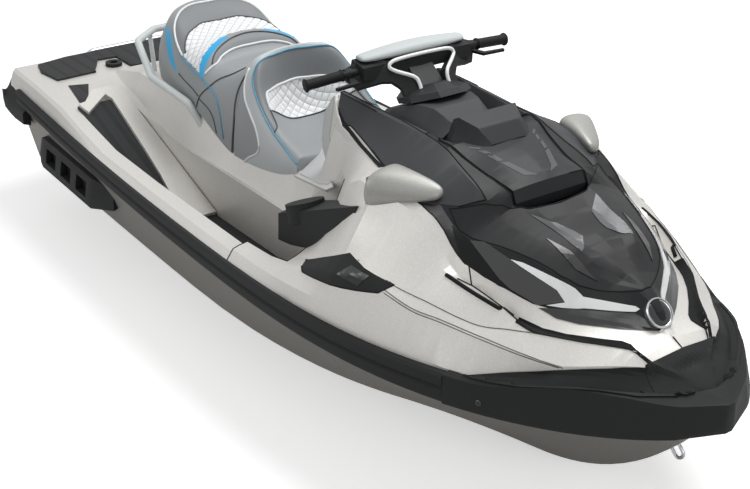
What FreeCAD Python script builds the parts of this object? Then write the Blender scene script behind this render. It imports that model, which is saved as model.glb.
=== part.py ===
"""Three-seat personal watercraft with a jet drive.

Frame: X points to the bow, Y to port, Z up, in millimetres.  The origin lies on the
floor under the middle of the craft, level with the flat keel pad it is parked on.
"""
import FreeCAD, Part
import math
import os

from FreeCAD import Vector

doc = FreeCAD.newDocument("watercraft")

SIZES = [
    ("craft_length", 3451, "bow bumper to stern bumpers"),
    ("craft_beam", 1255, "over the side rails"),
    ("fit_gap", 0.4, "gap left between seated pieces"),
    ("run_gap", 6, "gap left beside moving pieces"),
    ("rail_top", 482, "height of the rail's top edge amidships"),
    ("rail_sheer", 30, "rise of the rail towards bow and stern"),
    ("rail_depth_aft", 52, "rail height at the stern"),
    ("rail_depth_fore", 86, "rail height at the bow"),
    ("rail_proud", 20, "how far the rail stands off the hull"),
    ("rail_end", 1150, "where the rail meets the bow bumper"),
    ("keel_flat", 60, "half-width of the flat keel pad"),
    ("keel_straight", 500, "where the keel begins to rise"),
    ("stem_height", 430, "height of the stem at the bumper"),
    ("chine_height", 190, "height of the chine at the stern"),
    ("transom_place", -1600, "transom plane"),
    ("bumper_wall", 58, "thickness of the bow bumper"),
    ("deck_height", 570, "top of the stern platform"),
    ("gunwale_height", 500, "top of the gunwale beside the footwells"),
    ("gunwale_width", 62, "width of the gunwale band"),
    ("platform_front", -1180, "front edge of the stern platform"),
    ("well_floor", 300, "height of the footwell floor"),
    ("well_foot", -450, "where the footwell ramp meets the floor"),
    ("well_front", 330, "front end of the footwell floor"),
    ("well_inner", 285, "distance from centre to the footwell"),
    ("tub_wall", 8, "wall of the footwell tubs"),
    ("pedestal_height", 640, "top of the seat pedestal at its rear"),
    ("deck_split", 180, "where deck and bow deck meet"),
    ("tunnel_half", 150, "half-width of the pump tunnel"),
    ("tunnel_roof", 376, "height of the pump tunnel"),
    ("tunnel_front", -1150, "front wall of the pump tunnel"),
    ("pump_height", 165, "height of the pump axis"),
    ("pump_radius", 92, "outer radius of the pump housing"),
    ("pump_wall", 10, "wall of the pump housing"),
    ("pump_end", -1480, "rear end of the pump outlet"),
    ("outlet_radius", 50, "outer radius of the pump outlet"),
    ("blade_gap", 1.2, "gap between impeller blades and housing"),
    ("shaft_radius", 14, "radius of the drive shaft"),
    ("nozzle_radius", 68, "outer radius of the steering nozzle's bell"),
    ("nozzle_mouth", 46, "outer radius of the steering nozzle's mouth"),
    ("nozzle_length", 125, "length of the steering nozzle"),
    ("nozzle_pivot", -1490, "vertical pivot of the steering nozzle"),
    ("gate_pivot", -1425, "cross pivot of the reverse gate"),
    ("gate_radius", 192, "inner radius of the reverse gate"),
    ("gate_wall", 7, "wall of the reverse gate"),
    ("gate_half", 104, "half-width of the reverse gate"),
    ("ride_plate_wall", 12, "thickness of the ride plate"),
    ("ride_plate_rear", 85, "rear edge of the ride plate ahead of the stern"),
    ("ride_plate_side", 8, "thickness of the ride plate's upright sides"),
    ("ride_plate_height", 66, "height of those sides"),
    ("intake_rear", 130, "rear edge of the water intake ahead of the tunnel"),
    ("intake_front", -640, "front edge of the water intake"),
    ("intake_half", 82, "half-width of the water intake"),
    ("grate_low", 1, "underside of the intake grate"),
    ("grate_high", 9, "top of the intake grate"),
    ("grate_end", 16, "end pieces of the intake grate"),
    ("grate_side", 14, "sides of the intake grate"),
    ("grate_bar", 8, "width of the grate's bars"),
    ("engine_length", 620, "engine block"),
    ("engine_width", 330, "engine block"),
    ("engine_height", 320, "engine block"),
    ("engine_floor", 105, "underside of the engine block"),
    ("engine_centre", -60, "middle of the engine block"),
    ("column_place", 470, "where the steering column meets its cover"),
    ("column_height", 975, "height of that point"),
    ("column_rake", 20, "lean of the steering column in degrees"),
    ("column_radius", 19, "radius of the steering column"),
    ("bar_radius", 11, "radius of the handlebar tube"),
    ("bar_half", 389, "half-width of the handlebar"),
    ("grip_radius", 17, "radius of the grips"),
    ("grip_length", 125, "length of the grips"),
    ("lid_front", 1000, "front edge of the front storage lid"),
    ("lid_hinge", 992, "hinge line of the front storage lid"),
    ("lid_hinge_height", 842, "height of that hinge line"),
    ("lid_room", 818, "floor under the rim of the front storage lid"),
    ("lid_wall", 26, "thickness of the lid"),
    ("lid_trough", 44, "radius of the recess in front of the lid"),
    ("lid_rear", 648, "rear edge of the front storage lid"),
    ("dash_front", 336, "seam between the dash and the middle of the bodywork"),
    ("nose_start", 1035, "the nose in front of this stretches with the craft's length"),
    ("nose_corner", 1566, "where the bow bumper closes over the nose"),
    ("mirror_half", 440, "outer reach of the mirrors"),
    ("mat_thickness", 8, "deck mats"),
    ("socket_place", 242.5, "accessory sockets ahead of the stern"),
    ("socket_side", 169, "accessory sockets beside the centre line"),
    ("socket_radius", 34, "outer radius of the accessory sockets"),
    ("socket_bore", 17, "bore of the accessory sockets"),
    ("socket_height", 14, "height of the accessory sockets"),
    ("socket_floor", 4, "floor under that bore"),
    ("bin_rear", 705, "rear wall of the storage bin"),
    ("bin_front", 930, "front wall of the storage bin"),
    ("bin_half", 118, "half-width of the storage bin"),
    ("bin_floor", 600, "underside of the storage bin"),
    ("bin_wall", 4, "wall of the storage bin"),
    ("gauge_place", 652, "rear face of the instrument hood"),
    ("gauge_half", 78, "half-width of the instrument display"),
    ("gauge_low", 944, "lower edge of the instrument display"),
    ("gauge_high", 982, "upper edge of the instrument display"),
    ("gauge_thickness", 5, "thickness of the instrument display"),
    ("ladder_half", 190, "half-width of the boarding ladder"),
    ("ladder_tube", 11, "radius of the ladder's tube"),
    ("ladder_hinge", 330, "height of the ladder's hinge"),
    ("ladder_reach", 238, "reach of the ladder from its hinge"),
    ("bow_eye_height", 296, "height of the bow eye"),
    ("glovebox_rear", 205, "rear edge of the glovebox lid"),
    ("glovebox_hinge", 210, "hinge line of the glovebox lid"),
    ("glovebox_hinge_height", 802, "height of that hinge line"),
    ("glovebox_wall", 14, "thickness of the glovebox lid"),
]

sizes = doc.addObject("Spreadsheet::Sheet", "sizes")
for row, (alias, value, note) in enumerate(SIZES, 1):
    sizes.set(f"A{row}", alias)
    sizes.set(f"B{row}", str(value))
    sizes.setAlias(f"B{row}", alias)
    sizes.set(f"C{row}", note)
doc.recompute()
S = {alias: float(sizes.get(alias)) for alias, value, note in SIZES}

BOW = S["craft_length"] / 2
STERN = -S["craft_length"] / 2
HALF = S["craft_beam"] / 2
DRAWN_BOW = 1725.5
DRAWN_HALF = 627.5
NODES = {}


# Outline curves shared by the hull, the deck, the rails and the bumpers

def half_breadth(x, inset=0.0, nose=0.0):
    """Half-breadth in plan, set in from the rail's outer face and from the bow tip."""
    fullest = 0.12 * BOW
    half = HALF - inset
    if x >= fullest:
        along = min((x - fullest) / (BOW - nose - fullest), 1.0)
        return half * (1 - along ** 2.6) ** 0.645
    along = (fullest - x) / (fullest - STERN)
    return half - 0.11 * HALF * along ** 1.6


def hull_side(x):
    """Half-breadth of hull and deck where the rail and the bow bumper lie on them."""
    return half_breadth(x, S["rail_proud"], S["bumper_wall"])


def rail_top(x):
    return S["rail_top"] + S["rail_sheer"] * (x / 1450) ** 2


def rail_bottom(x):
    along = (x - STERN) / (S["rail_end"] - STERN)
    depth = S["rail_depth_aft"] + (S["rail_depth_fore"] - S["rail_depth_aft"]) * min(along, 1.0)
    return rail_top(x) - depth


def joint_height(x):
    """Height of the joint between hull and deck, hidden behind the rail."""
    return (rail_top(x) + rail_bottom(x)) / 2


def keel_height(x):
    along = max(0.0, (x - S["keel_straight"]) / (BOW - 65 - S["keel_straight"]))
    return S["stem_height"] * min(along, 1.0) ** 3.8


def stations(start, end):
    """Places of the loft sections, closer together towards the bow tip."""
    tip = BOW - S["bumper_wall"]
    places = [STERN + 20, S["transom_place"], -1420, S["platform_front"], -1000, -800, -600, -400,
              -200, 0, S["deck_split"], 202, 225, 330, 420, 520, 600, 650, 700, 748, 800, 840, 889, 930, 960,
              S["lid_front"] - 15, S["lid_front"], 1035, 1087, 1120, S["rail_end"], 1187, 1225, 1265, 1300, 1340,
              1388, 1430, 1453, 1475, 1503, 1537, 1562, 1576, 1600, tip - 32, tip - 12, tip - 2]
    places = [x if x < 1200 else 1200 + (x - 1200) * (BOW - 1200) / (DRAWN_BOW - 1200) for x in places[:-3]]
    places += [tip - 32, tip - 12, tip - 2]
    inside = [x for x in places if start + 5 < x < end - 5]
    return [start] + inside + [end]


# Small builders

def mirrored(half_points):
    """Close a half outline of (y, z) points by symmetry."""
    other = [(-y, z) for y, z in reversed(half_points) if abs(y) > 1e-6]
    return half_points + other


def wire_at(x, points):
    corners = [Vector(x, y, z) for y, z in points]
    return Part.makePolygon(corners + [corners[0]])


def loft(wires, ruled=True):
    solid = Part.makeLoft(wires, True, ruled)
    if solid.Volume < 0:
        solid.reverse()
    return solid


def box(x0, x1, y0, y1, z0, z1):
    return Part.makeBox(x1 - x0, y1 - y0, z1 - z0, Vector(x0, y0, z0))


def other_side(shape):
    return shape.mirror(Vector(0, 0, 0), Vector(0, 1, 0))


def pair(shape):
    return Part.makeCompound([shape, other_side(shape)])


def prism(corners, direction):
    face = Part.Face(Part.makePolygon(corners + [corners[0]]))
    return face.extrude(direction)


def grown(outline, distance):
    """Plan outline with each corner moved outwards by the distance from both of its edges."""
    corners = [Vector(x, y, 0) for x, y in outline]
    turn = sum(a.x * b.y - b.x * a.y for a, b in zip(corners, corners[1:] + corners[:1]))
    reach = distance if turn > 0 else -distance
    moved = []
    for before, corner, after in zip(corners[-1:] + corners[:-1], corners, corners[1:] + corners[:1]):
        into = (corner - before).normalize()
        out = (after - corner).normalize()
        square = Vector(into.y + out.y, -into.x - out.x, 0)
        place = corner + square * (reach / (1 + into.dot(out)))
        moved.append((place.x, place.y))
    return moved


def upright(outline, low, high, grow=0.0):
    """Prism over a plan outline of (x, y) points, grown all round."""
    corners = [Vector(x, y, low) for x, y in grown(outline, grow)]
    return prism(corners, Vector(0, 0, high - low))


def node(name, shape):
    """Keep a finished shape as the sub-part called name."""
    piece = doc.addObject("Part::Feature", name)
    piece.Shape = shape
    piece.Label = name
    NODES[name] = piece
    return piece


def kept(piece):
    """Keep a piece that is bound to the sheet as the sub-part of its own name."""
    NODES[piece.Name] = piece
    return piece


def block(name, x, y, z):
    """Box between a low and a high formula on each axis, bound to the sheet."""
    piece = doc.addObject("Part::Box", name)
    for side, axis, (low, high) in zip(("Length", "Width", "Height"), "xyz", (x, y, z)):
        piece.setExpression(side, f"({high}) - ({low})")
        piece.setExpression(f"Placement.Base.{axis}", low)
    return piece


def drum(name, radius, height, place):
    """Upright cylinder whose radius, height and place are formulas bound to the sheet."""
    piece = doc.addObject("Part::Cylinder", name)
    piece.setExpression("Radius", radius)
    piece.setExpression("Height", height)
    for axis, formula in zip("xyz", place):
        piece.setExpression(f"Placement.Base.{axis}", formula)
    return piece


def less(name, base, tool):
    piece = doc.addObject("Part::Cut", name)
    piece.Base, piece.Tool = base, tool
    return piece


def united(name, pieces):
    piece = doc.addObject("Part::MultiFuse", name)
    piece.Shapes = pieces
    piece.Refine = True
    return piece


def tube(points, radius, bend):
    """Solid round bar along points, with its corners rounded to the bend radius."""
    path = []
    start = points[0]
    for before, corner, after in zip(points, points[1:], points[2:]):
        into = (corner - before).normalize()
        out = (after - corner).normalize()
        half_turn = into.getAngle(out) / 2
        cut = bend * math.tan(half_turn)
        enter = corner - into * cut
        leave = corner + out * cut
        middle = corner + (out - into).normalize() * (bend / math.cos(half_turn) - bend)
        path.append(Part.LineSegment(start, enter).toShape())
        path.append(Part.Arc(enter, middle, leave).toShape())
        start = leave
    path.append(Part.LineSegment(start, points[-1]).toShape())
    first = (points[1] - points[0]).normalize()
    profile = Part.Wire([Part.Circle(points[0], first, radius).toShape()])
    return Part.Wire(path).makePipeShell([profile], True, True, 2)


def cylinder(radius, start, end):
    axis = end - start
    return Part.makeCylinder(radius, axis.Length, start, axis)


def spun(outline, height=0.0):
    """Solid of revolution about the X direction, from (x, radius) points."""
    corners = [Vector(x, 0, r) for x, r in outline]
    face = Part.Face(Part.makePolygon(corners + [corners[0]]))
    solid = face.revolve(Vector(0, 0, 0), Vector(1, 0, 0), 360)
    solid.translate(Vector(0, 0, height))
    return solid


# Footwells: a ramp down from the platform, a flat floor and a toe end

def well(grow):
    """Solid that fills the port footwell, grown outwards by grow."""
    top = S["deck_height"] + 200
    places = [
        (S["platform_front"] - grow, S["deck_height"] - grow),
        (S["well_foot"] - grow, S["well_floor"] - grow),
        (S["well_front"] + grow, S["well_floor"] - grow),
        (S["well_front"] + 90 + grow, S["well_floor"] + 120 - grow),
    ]
    wires = []
    for x, floor in places:
        inner = S["well_inner"] - grow
        outer = hull_side(x) - S["gunwale_width"] + grow
        lean = 30 * (top - floor) / (top - S["well_floor"])
        corners = [(inner, top), (inner, floor), (outer - lean, floor), (outer, top)]
        wires.append(wire_at(x, corners))
    return loft(wires)


# Hull

def pump_tunnel():
    half = S["tunnel_half"]
    roof = S["tunnel_roof"]
    corners = [(half, -50), (half, roof - 28), (half - 28, roof)]
    ends = [STERN - 50, S["tunnel_front"]]
    return loft([wire_at(x, mirrored(corners)) for x in ends])


def intake_duct():
    """Slanted water duct from the bottom opening up to the pump."""
    half = S["intake_half"]
    rear = S["tunnel_front"] + S["intake_rear"]
    opening = [Vector(rear, half, -5), Vector(S["intake_front"], half, -5),
               Vector(S["intake_front"], -half, -5), Vector(rear, -half, -5)]
    bore = S["pump_radius"] - S["pump_wall"]
    z = S["pump_height"]
    pump_face = S["tunnel_front"] - 5
    square = [Vector(pump_face, bore, z - bore * 0.8), Vector(pump_face, bore, z + bore * 0.8),
              Vector(pump_face, -bore, z + bore * 0.8), Vector(pump_face, -bore, z - bore * 0.8)]
    wires = [Part.makePolygon(opening + [opening[0]]), Part.makePolygon(square + [square[0]])]
    return loft(wires)


def engine_bay(grow):
    length = S["engine_length"] / 2 + grow
    half = S["engine_width"] / 2 + grow
    floor, middle = S["engine_floor"], S["engine_centre"]
    return box(middle - length, middle + length, -half, half, floor - grow, floor + S["engine_height"] + grow)


def make_engine():
    """Engine as one plain block."""
    middle = "sizes.engine_centre"
    return kept(block("engine_block",
                      (f"{middle} - sizes.engine_length / 2", f"{middle} + sizes.engine_length / 2"),
                      ("-sizes.engine_width / 2", "sizes.engine_width / 2"),
                      ("sizes.engine_floor", "sizes.engine_floor + sizes.engine_height")))


def shaft_line(radius, start, end):
    z = S["pump_height"]
    return cylinder(radius, Vector(start, 0, z), Vector(end, 0, z))


def hull_section(x):
    side = hull_side(x)
    rise = keel_height(x)
    along = max(0.0, (x + 200) / (BOW - 65 + 200))
    lift = S["stem_height"] - 20 - S["chine_height"]
    chine_z = S["chine_height"] + lift * along ** 2.2
    chine_y = side * (0.86 - 0.30 * along ** 2)
    pad = S["keel_flat"] * (1 - max(0.0, (x - 300) / (BOW - 300)) ** 1.5) + 1
    pad = min(pad, chine_y * 0.5)
    return [
        (pad, rise),
        (chine_y, chine_z),
        (min(chine_y + 16, side - 1), chine_z + 14),
        (side, rail_bottom(x) - 4),
        (side, joint_height(x)),
    ]


def make_hull():
    places = stations(S["transom_place"], BOW - S["bumper_wall"] - 2)
    solid = loft([wire_at(x, mirrored(hull_section(x))) for x in places])
    solid = solid.cut(pump_tunnel())
    solid = solid.cut(intake_duct())
    half = S["intake_half"]
    solid = solid.cut(box(S["tunnel_front"] + S["intake_rear"], S["intake_front"], -half, half, -5, 10))
    solid = solid.cut(engine_bay(12))
    solid = solid.cut(shaft_line(S["shaft_radius"] + 4, S["tunnel_front"], S["engine_centre"]))
    port = well(S["tub_wall"] + S["fit_gap"])
    return solid.cut(port).cut(other_side(port))


# Bodywork above the joint: one form, split into the panels along their real edges

def deck_section(x):
    """Half outline of the stern platform and the gunwales."""
    side = hull_side(x)
    blend = min(1.0, max(0.0, (x - S["platform_front"] + 60) / 420))
    top = S["deck_height"] + (S["gunwale_height"] - S["deck_height"]) * blend
    return [(side, joint_height(x)), (side, rail_top(x) - 6), (side - 14, top - 12), (side - 26, top)]


# Lines that run along the bow bodywork, from the rail to the centre, as (x, y, z) of the port side

FRONT = {
    "shoulder": [(180, 582, 512), (330, 585, 515), (520, 587, 530), (700, 576, 545), (820, 558, 530),
                 (940, 536, 515), (1060, 502, 508), (1150, 474, 506), (1200, 440, 506), (1265, 391, 518),
                 (1325, 338, 528), (1388, 291, 548), (1448, 241, 558), (1503, 186, 566), (1537, 131, 565),
                 (1562, 88, 561), (1600, 60, 545), (1668, 3, 516)],
    "lower_seam": [(180, 562, 518), (330, 560, 526), (420, 552, 545), (520, 540, 580), (600, 546, 606),
                   (700, 552, 632), (787, 529, 662), (896, 505, 641), (1044, 461, 616), (1173, 409, 596),
                   (1239, 378, 588), (1320, 334, 580), (1388, 286, 568), (1448, 235, 580), (1503, 180, 588),
                   (1537, 128, 582), (1562, 86, 570), (1600, 58, 547), (1668, 2.8, 516.5)],
    "upper_seam": [(180, 480, 530), (330, 490, 545), (420, 495, 562), (520, 514, 592), (600, 512, 632),
                   (700, 508, 681), (784, 505, 686), (899, 485, 664), (1047, 429, 645), (1171, 378, 618),
                   (1230, 343, 622), (1287, 299, 626), (1392, 214, 618), (1490, 144, 620), (1540, 109, 587),
                   (1562, 84, 574), (1600, 56, 549), (1668, 2.6, 517)],
    "panel_edge": [(180, 312, 552), (330, 345, 580), (420, 392, 608), (520, 430, 690), (600, 440, 745),
                   (700, 425, 818), (748, 412, 808), (800, 398, 800), (889, 378, 782), (940, 378, 745),
                   (996, 371, 707), (1087, 351, 698), (1150, 336, 680), (1200, 322, 662), (1240, 311, 642),
                   (1287, 296, 627), (1392, 211, 619), (1490, 141, 621), (1540, 106, 588), (1562, 82, 574),
                   (1600, 54, 550), (1668, 2.4, 517.5)],
    "gutter": [(180, 288, 605), (225, 293, 625), (330, 310, 660), (420, 340, 720), (520, 370, 805),
               (600, 384, 848), (700, 402, 856), (748, 388, 846), (800, 374, 838), (889, 354, 806),
               (940, 352, 768), (996, 348, 712), (1087, 328, 672), (1150, 313, 648), (1200, 299, 633),
               (1235, 291, 627), (1287, 268, 621), (1392, 194, 611), (1467, 136, 604), (1495, 128, 603),
               (1540, 98, 584), (1562, 78, 572), (1600, 50, 549), (1668, 2.2, 518)],
    "silver_edge": [(180, 178, 840), (225, 206, 898), (330, 230, 896), (420, 256, 894), (520, 286, 890),
                    (600, 312, 888), (700, 338, 876), (760, 346, 862), (835, 340, 846), (900, 332, 822),
                    (930, 330, 800), (974, 328, 757), (1019, 326, 733), (1079, 311, 716), (1129, 296, 704),
                    (1187, 272, 688), (1225, 254, 676), (1278, 214, 665), (1360, 140, 648), (1430, 60, 635),
                    (1470, 20, 626), (1540, 12, 596), (1562, 10, 583), (1576, 9, 566), (1600, 8, 556),
                    (1668, 2, 518.5)],
    "hood_edge": [(180, 174, 846), (225, 203, 930), (330, 215, 930), (520, 240, 926), (700, 268, 915),
                  (800, 290, 884), (882, 296, 834), (946, 294, 794), (1000, 284, 784), (1078, 248, 781),
                  (1177, 208, 766), (1249, 182, 744), (1292, 156, 726), (1324, 122, 713), (1364, 66, 709),
                  (1396, 20, 712), (1430, 14, 690), (1453, 12, 670), (1475, 9, 631), (1540, 8, 597),
                  (1562, 7, 584), (1576, 6, 567), (1600, 6, 557), (1668, 1.8, 519)],
    "console_edge": [(180, 168, 850), (225, 196, 966), (330, 198, 965), (520, 194, 961), (700, 186, 956),
                     (760, 190, 942), (835, 200, 916), (908, 204, 893), (961, 200, 866), (985, 198, 840),
                     (1004, 195, 826), (1078, 180, 812), (1177, 150, 795), (1237, 130, 775), (1292, 100, 748),
                     (1324, 80, 730), (1364, 40, 718), (1396, 14, 714), (1430, 10, 691), (1453, 8, 671),
                     (1475, 7, 631), (1540, 6, 597), (1562, 5, 584), (1576, 5, 567), (1600, 4, 557),
                     (1668, 1.6, 519)],
    "lid_edge": [(180, 158, 850), (225, 180, 968), (330, 178, 966), (520, 172, 962), (700, 168, 958),
                 (727, 172, 957), (800, 155, 930), (908, 134, 899), (985, 132, 887), (1000, 130, 853),
                 (1035, 127, 841), (1100, 118, 826), (1237, 95, 791), (1292, 70, 757), (1324, 50, 736),
                 (1364, 25, 722), (1396, 9, 715), (1430, 6, 692), (1453, 5, 672), (1475, 4, 632), (1562, 3.5, 584),
                 (1576, 3.5, 567), (1600, 3, 557), (1668, 1.4, 519)],
    "crown": [(180, 132, 776), (225, 134, 812), (330, 138, 884), (520, 135, 893), (600, 130, 905),
              (700, 126, 938), (727, 110, 955), (800, 100, 946), (867, 90, 932), (908, 88, 916), (985, 80, 890),
              (1000, 80, 853), (1035, 85, 838), (1100, 80, 812), (1200, 70, 795), (1237, 60, 782), (1264, 40, 776),
              (1320, 25, 748), (1364, 12, 727), (1396, 5, 714), (1430, 3, 692), (1453, 2.8, 672),
              (1475, 2.6, 632), (1562, 2.2, 584), (1576, 2.2, 567), (1600, 2, 557), (1668, 1.2, 519)],
    "centre": [(180, 0, 792), (225, 0, 826), (330, 0, 893), (520, 0, 900), (600, 0, 908), (700, 0, 938),
               (727, 0, 948), (787, 0, 950), (867, 0, 944), (908, 0, 930), (985, 0, 892), (1000, 0, 853),
               (1035, 0, 838), (1100, 0, 815), (1200, 0, 800), (1264, 0, 776), (1320, 0, 748), (1396, 0, 714),
               (1430, 0, 692), (1453, 0, 672), (1475, 0, 632), (1500, 0, 618), (1562, 0, 584), (1576, 0, 567),
               (1600, 0, 557), (1668, 0, 519)],
}
CREASE = [(1150, 500, 500), (1225, 462, 497), (1429, 328, 536), (1457, 308, 540), (1554, 233, 538),
          (1661, 123, 523), (1720, 20, 521)]
BUMPER_TOP = [(1150, 480, 507), (1170, 472, 504), (1225, 430, 518), (1265, 395, 530), (1325, 342, 540),
              (1388, 295, 560), (1448, 245, 570), (1503, 190, 578), (1537, 135, 577), (1562, 92, 575),
              (1640, 47, 549), (1720, 2, 521)]


def slope(points, k):
    return (points[k + 1][1] - points[k][1]) / (points[k + 1][0] - points[k][0])


def tangent(points, k):
    """Slope of the smooth curve at a point: level wherever the points turn back."""
    if k == 0 or k == len(points) - 1:
        return slope(points, min(k, len(points) - 2))
    before, after = slope(points, k - 1), slope(points, k)
    if before * after <= 0:
        return 0.0
    return 2 * before * after / (before + after)


def steady(points, x):
    """Value at x of a smooth curve through (x, value) points that never swings past them."""
    if x <= points[0][0]:
        return points[0][1]
    if x >= points[-1][0]:
        return points[-1][1]
    i = next(k for k in range(len(points) - 1) if x <= points[k + 1][0])
    (x0, v0), (x1, v1) = points[i], points[i + 1]
    run = x1 - x0
    t = (x - x0) / run
    a, b = tangent(points, i) * run, tangent(points, i + 1) * run
    return ((2 * t ** 3 - 3 * t ** 2 + 1) * v0 + (t ** 3 - 2 * t ** 2 + t) * a
            + (3 * t ** 2 - 2 * t ** 3) * v1 + (t ** 3 - t ** 2) * b)


def line_at(line, x):
    """Place (y, z) on a line of the bow; the nose stretches with the craft, the beam with its width."""
    nose = S["nose_start"]
    if x > nose:
        x = nose + (x - nose) * (DRAWN_BOW - nose) / (BOW - nose)
    y = steady([(p[0], p[1]) for p in line], x) * HALF / DRAWN_HALF
    return y, steady([(p[0], p[2]) for p in line], x)


def front_section(x):
    """Half outline of the bow bodywork."""
    side = hull_side(x)
    points = [(side, joint_height(x)), (side, rail_top(x) - 6)]
    for line in FRONT.values():
        y, z = line_at(line, x)
        points.append((min(y, points[-1][0] - 0.1), z))
    return points[:-1] + [(0.0, points[-1][1])]


def front_form():
    """Solid bow bodywork."""
    places = stations(S["deck_split"] + S["fit_gap"], BOW - S["bumper_wall"] - 2)
    return loft([wire_at(x, mirrored(front_section(x))) for x in places])


def lowered(shape, depth):
    moved = shape.copy()
    moved.translate(Vector(0, 0, -depth))
    return moved


def plan_of(line, start, end):
    """Plan outline points of a line between two places."""
    return [(x, y) for x, y, z in line if start <= x <= end]


def both_sides(half):
    """Close a plan outline by symmetry about the centre line."""
    return half + [(x, -y) for x, y in reversed(half) if y]


def hood_outline():
    rear = [(1038, 0), (1028, 110), (968, 200), (892, 282)]
    side = [(x, y - 4) for x, y in plan_of(FRONT["hood_edge"], 940, 1370)]
    return both_sides(rear + side + [(1392, 16), (1392, 0)])


def body_outline():
    """Plan of the dark inner bodywork: the silver panels end along this line."""
    return both_sides([(170, 178)] + plan_of(FRONT["silver_edge"], 225, 1470) + [(1475, 0)])


def nose_outline():
    """Plan of the silver nose, in front of the side panels' seam and inside their top edge."""
    edge = [(x, y + 3) for x, y in plan_of(FRONT["gutter"], 1150, 1562)]
    return both_sides([(1032, 0), (1032, 322), (1088, 343)] + edge + [(1592, 62), (1600, 200), (BOW, 200), (BOW, 0)])


def console_outline():
    return [(216, 216), (330, 230), (420, 254), (520, 284), (600, 310), (700, 336), (760, 343), (835, 338),
            (878, 296), (954, 203), (900, 196), (835, 190), (760, 184), (690, 184), (520, 176), (330, 182),
            (216, 184)]


def lid_outline():
    return both_sides([(S["lid_rear"], 130), (705, 172), (908, 137), (S["lid_front"], 132)])


def glovebox_outline():
    return both_sides([(S["glovebox_rear"], 120), (S["glovebox_rear"] + 115, 112)])


def bin_space(grow):
    half = S["bin_half"] + grow
    return box(S["bin_rear"] - grow, S["bin_front"] + grow, -half, half, S["bin_floor"] - grow, S["lid_room"])


def make_bin():
    """Open storage bin under the front lid."""
    outside = block("bin_outside", ("sizes.bin_rear", "sizes.bin_front"), ("-sizes.bin_half", "sizes.bin_half"),
                    ("sizes.bin_floor", "sizes.lid_room"))
    inside = block("bin_inside", ("sizes.bin_rear + sizes.bin_wall", "sizes.bin_front - sizes.bin_wall"),
                   ("sizes.bin_wall - sizes.bin_half", "sizes.bin_half - sizes.bin_wall"),
                   ("sizes.bin_floor + sizes.bin_wall", "sizes.lid_room + sizes.lid_wall"))
    return kept(less("storage_bin", outside, inside))


def make_deck():
    """Stern platform, gunwales, seat pedestal and the tubs of the footwells."""
    places = stations(STERN + 42, S["deck_split"] - S["fit_gap"])
    solid = loft([wire_at(x, mirrored(deck_section(x))) for x in places])
    tub = well(S["tub_wall"])
    keep = box(STERN, S["deck_split"] - S["fit_gap"], -HALF, HALF, 0, S["gunwale_height"])
    tub = tub.common(keep)
    solid = solid.fuse([tub, other_side(tub)])
    high = S["pedestal_height"]
    inner = S["well_inner"]
    rows = [(-1400, inner - 23, 190, S["deck_height"] + 10),
            (-1180, inner - 17, 200, high - 10),
            (-690, inner - 3, 228, high),
            (-385, inner - 5, 228, high - 60),
            (-120, inner - 5, 222, high - 30),
            (S["deck_split"] - S["fit_gap"], inner - 5, 205, high + 5)]
    wires = []
    for x, low, top, high_z in rows:
        foot = joint_height(x) + 4
        wires.append(wire_at(x, mirrored([(low, foot), (low, foot + 30), (top, high_z)])))
    solid = solid.fuse(loft(wires))
    port = well(0)
    solid = solid.cut(port).cut(other_side(port))
    return solid.removeSplitter()


def hinge_pins(x, z, radius, outer, inner):
    """Two short pins on a cross axis, one from each side."""
    pin = cylinder(radius, Vector(x, inner, z), Vector(x, outer, z))
    return pair(pin)


def make_front_lid(form, body):
    """Hollow storage lid, and the body with its room and its hinge pins."""
    hinge, height, gap = S["lid_hinge"], S["lid_hinge_height"], S["fit_gap"]
    lid = form.common(upright(lid_outline(), S["lid_room"] + S["run_gap"], 1100))
    lid = lid.cut(lowered(form, S["lid_wall"]).common(upright(lid_outline(), 0, 1100, -S["lid_wall"])))
    lid = lid.cut(hinge_pins(hinge, height, 4 + gap, 150, 106))
    trough = cylinder(S["lid_trough"], Vector(hinge, -138, height), Vector(hinge, 138, height))
    body = body.cut(upright(lid_outline(), S["lid_room"], 1100, S["run_gap"])).cut(trough)
    return lid, body.cut(bin_space(gap)).fuse(hinge_pins(hinge, height, 4, 146, 108))


def make_glovebox_lid(form, body):
    """Glovebox lid with a hinge barrel, and the body with its room and its hinge pins."""
    rear, hinge, height = S["glovebox_rear"], S["glovebox_hinge"], S["glovebox_hinge_height"]
    wall, gap = S["glovebox_wall"], S["fit_gap"]
    lid = form.common(upright(glovebox_outline(), 700, 1100)).cut(lowered(form, wall))
    lid = lid.fuse(cylinder(7, Vector(hinge, -116, height), Vector(hinge, 116, height)))
    lid = lid.cut(hinge_pins(hinge, height, 2.5 + gap, 140, 94))
    room = upright(glovebox_outline(), 700, 1100, S["run_gap"]).cut(lowered(form, wall + S["run_gap"]))
    turn = cylinder(22, Vector(hinge, -122, height), Vector(hinge, 122, height))
    body = body.cut(room).cut(turn).cut(box(rear + 12, rear + 100, -100, 100, 740, 1100))
    return lid, body.fuse(hinge_pins(hinge, height, 2.5, 130, 96))


def vent_outline(grow):
    """Side vent trim seen from the side, grown by a gap."""
    return [Vector(498 - grow, 440, 584), Vector(540, 440, 573 - grow), Vector(800, 440, 618 - grow),
            Vector(872, 440, 634 - grow), Vector(905 + 2 * grow, 440, 664), Vector(716, 440, 692 + grow),
            Vector(540, 440, 604 + grow)]


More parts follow.
